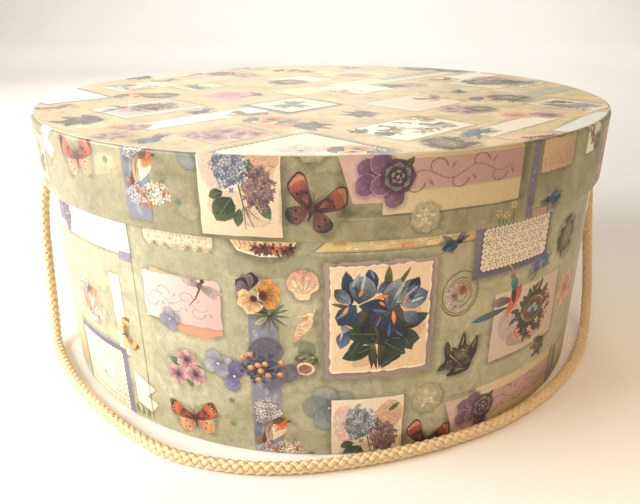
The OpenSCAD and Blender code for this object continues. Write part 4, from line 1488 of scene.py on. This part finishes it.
def braid(name, centres, material, loosen=0.0):
    """An eight-strand round braid along centres, given every millimetre or so, in millimetres.
    loosen spreads the strands at the last few millimetres."""
    line, at = evenly(centres, 1.1)
    way = unit(np.gradient(line, axis=0))
    side = np.empty_like(way)
    s = np.cross(way[0], (0, 0, 1) if abs(way[0][2]) < 0.9 else (0, 1, 0))
    for i, w in enumerate(way):
        s = unit(s - w * (s @ w))
        side[i] = s
    up = np.cross(way, side)
    strands, sides, lay, facet, loose_end = 8, 8, 17.6, 0.75, 6.0
    middle, weave, half_w, half_t = 0.325 * CORD, 0.065 * CORD, 0.20 * CORD, 0.105 * CORD
    end = np.clip((at - at[-1]) / loose_end + 1, 0, 1) * loosen
    thin = np.where((at < 0.4) | (at > at[-1] - 0.4), 0.55, 1.0)
    n = len(at)
    verts, faces, places = [], [], []
    for strand in range(strands):
        hand = 1 if strand < strands / 2 else -1
        a = hand * math.tau * at / lay + math.tau * strand / 4 + 0.05 * np.sin(at / 7 + strand)
        r = middle + hand * weave * np.cos(4 * math.tau * at / lay) + end * 1.2
        out = side * np.cos(a)[:, None] + up * np.sin(a)[:, None]
        core = line + out * r[:, None]
        across = np.cross(unit(np.gradient(core, axis=0)), out)
        base = len(verts)
        for k in range(sides):
            t = math.tau * (k + 0.5) / sides
            w, h = half_w * thin * math.sin(t), half_t * thin * math.cos(t)
            verts.extend(core + across * w[:, None] + out * h[:, None])
        for k in range(sides):
            here, after = base + k * n, base + (k + 1) % sides * n
            x0, x1 = facet * k, facet * (k + 1)
            for i in range(n - 1):
                faces.append((here + i, after + i, after + i + 1, here + i + 1))
                places += [(x0, at[i]), (x1, at[i]), (x1, at[i + 1]), (x0, at[i + 1])]
        for i in (0, n - 1):
            cap = [base + k * n + i for k in range(sides)]
            faces.append(cap[::-1] if i == 0 else cap)
            places += [(facet * k, at[i]) for k in range(sides)]
    mesh = bpy.data.meshes.new(name)
    mesh.from_pydata((np.array(verts) * MM).tolist(), [], faces)
    mesh.shade_smooth()
    mesh.uv_layers.new(name="along").data.foreach_set("uv", np.array(places, float).ravel())
    mesh.materials.append(material)
    return put_in_scene(name, mesh)


def knot_line(face, inward):
    """Centreline of an overhand knot pulled up against the lining at x = face. inward is +1 or -1."""
    height = ROUTE[0][2] / MM
    points = [(0.0, 0.0, 0.0), (1.6, 0.0, 0.0)]
    for k in range(15):
        t = -1.86 + 3.72 * k / 14
        across, up, on = t ** 3 - 3 * t, t ** 4 - 4 * t ** 2 + 2, t ** 5 - 10 * t
        points.append((8.2 + 0.50 * on, 2.6 * across, 2.5 * up))
    points += [(16.0, 0.5, 0.5), (19.5, 0.8, -0.6), (22.0, 1.2, -2.2)]
    local = smooth(np.array(points), False, 8)
    return [(face + inward * x, inward * y, height + z) for x, y, z in local]


# ------------------------------------------------------------ the hat box

def millimetres(node):
    """The low and high corners of a CAD node's box."""
    low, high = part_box(node)
    return np.array(low) / MM, np.array(high) / MM


def ring(radius, n=180):
    a = math.tau * np.arange(n) / n
    return np.stack([radius * np.cos(a), radius * np.sin(a)], 1)


def attach(piece, body, node):
    """Make the piece part of a body, in place of a CAD node."""
    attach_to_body(piece, body)
    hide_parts(node)
    return piece


def make_cord():
    yarn = cord_material()
    centres = smooth(np.array(ROUTE) / MM, False, 16)
    cord = attach(braid("carrying_cord", centres, yarn), "box", "cord")
    for side, end, inward in (("left", ROUTE[0], 1), ("right", ROUTE[-1], -1)):
        knot = braid(f"knot_{side}", knot_line(end[0] / MM, inward), yarn, 0.5)
        attach(knot, "box", f"cord_knot_{side}")


def make_wall(shapes, material):
    """Three panels round the wall, turned under its foot and in over its top edge."""
    low, high = millimetres("wall_wrap")
    radius, foot, head = high[0], low[2], high[2]
    inner = millimetres("wall_lining")[1][0] - PAPER
    corners = [
        (radius - TURN_IN, foot), (radius, foot), (radius, head), (inner, head), (inner, head - TURN_IN),
    ]
    round_u = math.tau * radius
    seam = -81.0
    fold = Fold(corners, (BEND, BEND, EDGE_BEND), 1, round_u + seam - LAP, PAPER)
    hole_z, hole_r = ROUTE[0][2] / MM, 3.5
    holes = [ring(hole_r, 28) + (at * round_u, hole_z) for at in (0.25, 0.75)]
    places = [(k * round_u / 3, row * PERIOD_Y, 0) for row in (-1, 0, 1) for k in range(4)]
    stops = [seam - LAP, 213.0, 530.0, round_u + seam]
    for k, (start, stop) in enumerate(zip(stops, stops[1:]), 1):
        inside = [h for h in holes if start < h[0][0] < stop]
        art = copies(shapes, places, (start, fold.v[0]), (stop, fold.v[-1]))
        panel = make_strip(f"wall_print_{k}", fold, start, stop, inside, art, material, "#b0ac8f")
        attach(panel, "box", "wall_wrap")


def make_rim(shapes, material):
    """The strip round the lid, turned in under its lower edge and over on to its top."""
    low, high = millimetres("lid_rim_wrap")
    radius, foot, head = high[0], low[2], high[2]
    inner = millimetres("lid_rim_lining")[1][0] - PAPER
    corners = [
        (inner, foot + TURN_IN), (inner, foot), (radius, foot), (radius, head), (radius - TURN_IN, head),
    ]
    round_u = math.tau * radius
    seam, shift = -366.5, -49.0
    fold = Fold(corners, (EDGE_BEND, BEND, BEND), 2, round_u + seam - LAP, PAPER)
    start, stop = seam - LAP, round_u + seam
    places = [(k * round_u / 3 + shift, row * PERIOD_Y, 0) for row in (0, 1) for k in range(-1, 3)]
    art = copies(shapes, places, (start, fold.v[0]), (stop, fold.v[-1]))
    # The rim's ground is darker than the wall's: partly the paper's own tone, partly painted shade for the
    # rim.
    rim = make_strip("rim_print", fold, start, stop, [], art, material, "#989273")
    attach(rim, "lid", "lid_rim_wrap")


def make_top(shapes, material):
    """The disc on top of the lid, which lies a little unevenly."""
    high = millimetres("lid_top_paper")[1]

    def place(flat):
        x, y = flat.T
        uneven = 0.05 * np.sin(x / 19 + 1) * np.sin(y / 27) + 0.04 * np.sin((x + y) / 33)
        return np.stack([x, y, high[2] - 0.08 + uneven], 1)

    outline = ring(high[0], 360)
    step = 8
    marks = [p for r in np.arange(step, high[0] - 3, step) for p in ring(r, round(math.tau * r / step))]
    # The top's ground is lighter than the wall's: partly its own yellower cream, partly painted light for
    # the brightly lit top.
    top = make_sheet("top_print", outline, [], shapes, [], marks, place, material, "#cfb98a")
    attach(top, "lid", "lid_top_paper")


def cover_cad_nodes():
    """Materials for the boards and plain papers that the CAD model shows itself."""
    board = greyboard_material()
    lining = plain_paper_material("lining_paper", (0.86, 0.82, 0.72))
    under = plain_paper_material("under_paper", (0.80, 0.74, 0.62))
    looks = {
        board: ("wall_board", "base_board", "lid_top_board", "lid_rim_board"),
        lining: ("wall_lining", "base_lining", "lid_top_lining", "lid_rim_lining"),
        under: ("base_paper",),
    }
    for material, nodes in looks.items():
        for node in nodes:
            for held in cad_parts[node].material_slots:
                held.material = material


make_camera()
make_cord()
make_lights()
make_floor(floor_material())
printed = print_material()
WALL_FINEST, RIM_FINEST, TOP_FINEST = 0.18, 0.6, 1.2  # the smallest shape printed, in square millimetres
make_wall(drawn(pattern, 11, WALL_FINEST) + drawn(wall_extras, 3, WALL_FINEST), printed)
make_rim(drawn(pattern, 11, RIM_FINEST) + drawn(rim_extras, 4, RIM_FINEST), printed)
make_top(drawn(lid_pattern, 5, TOP_FINEST), printed)
cover_cad_nodes()
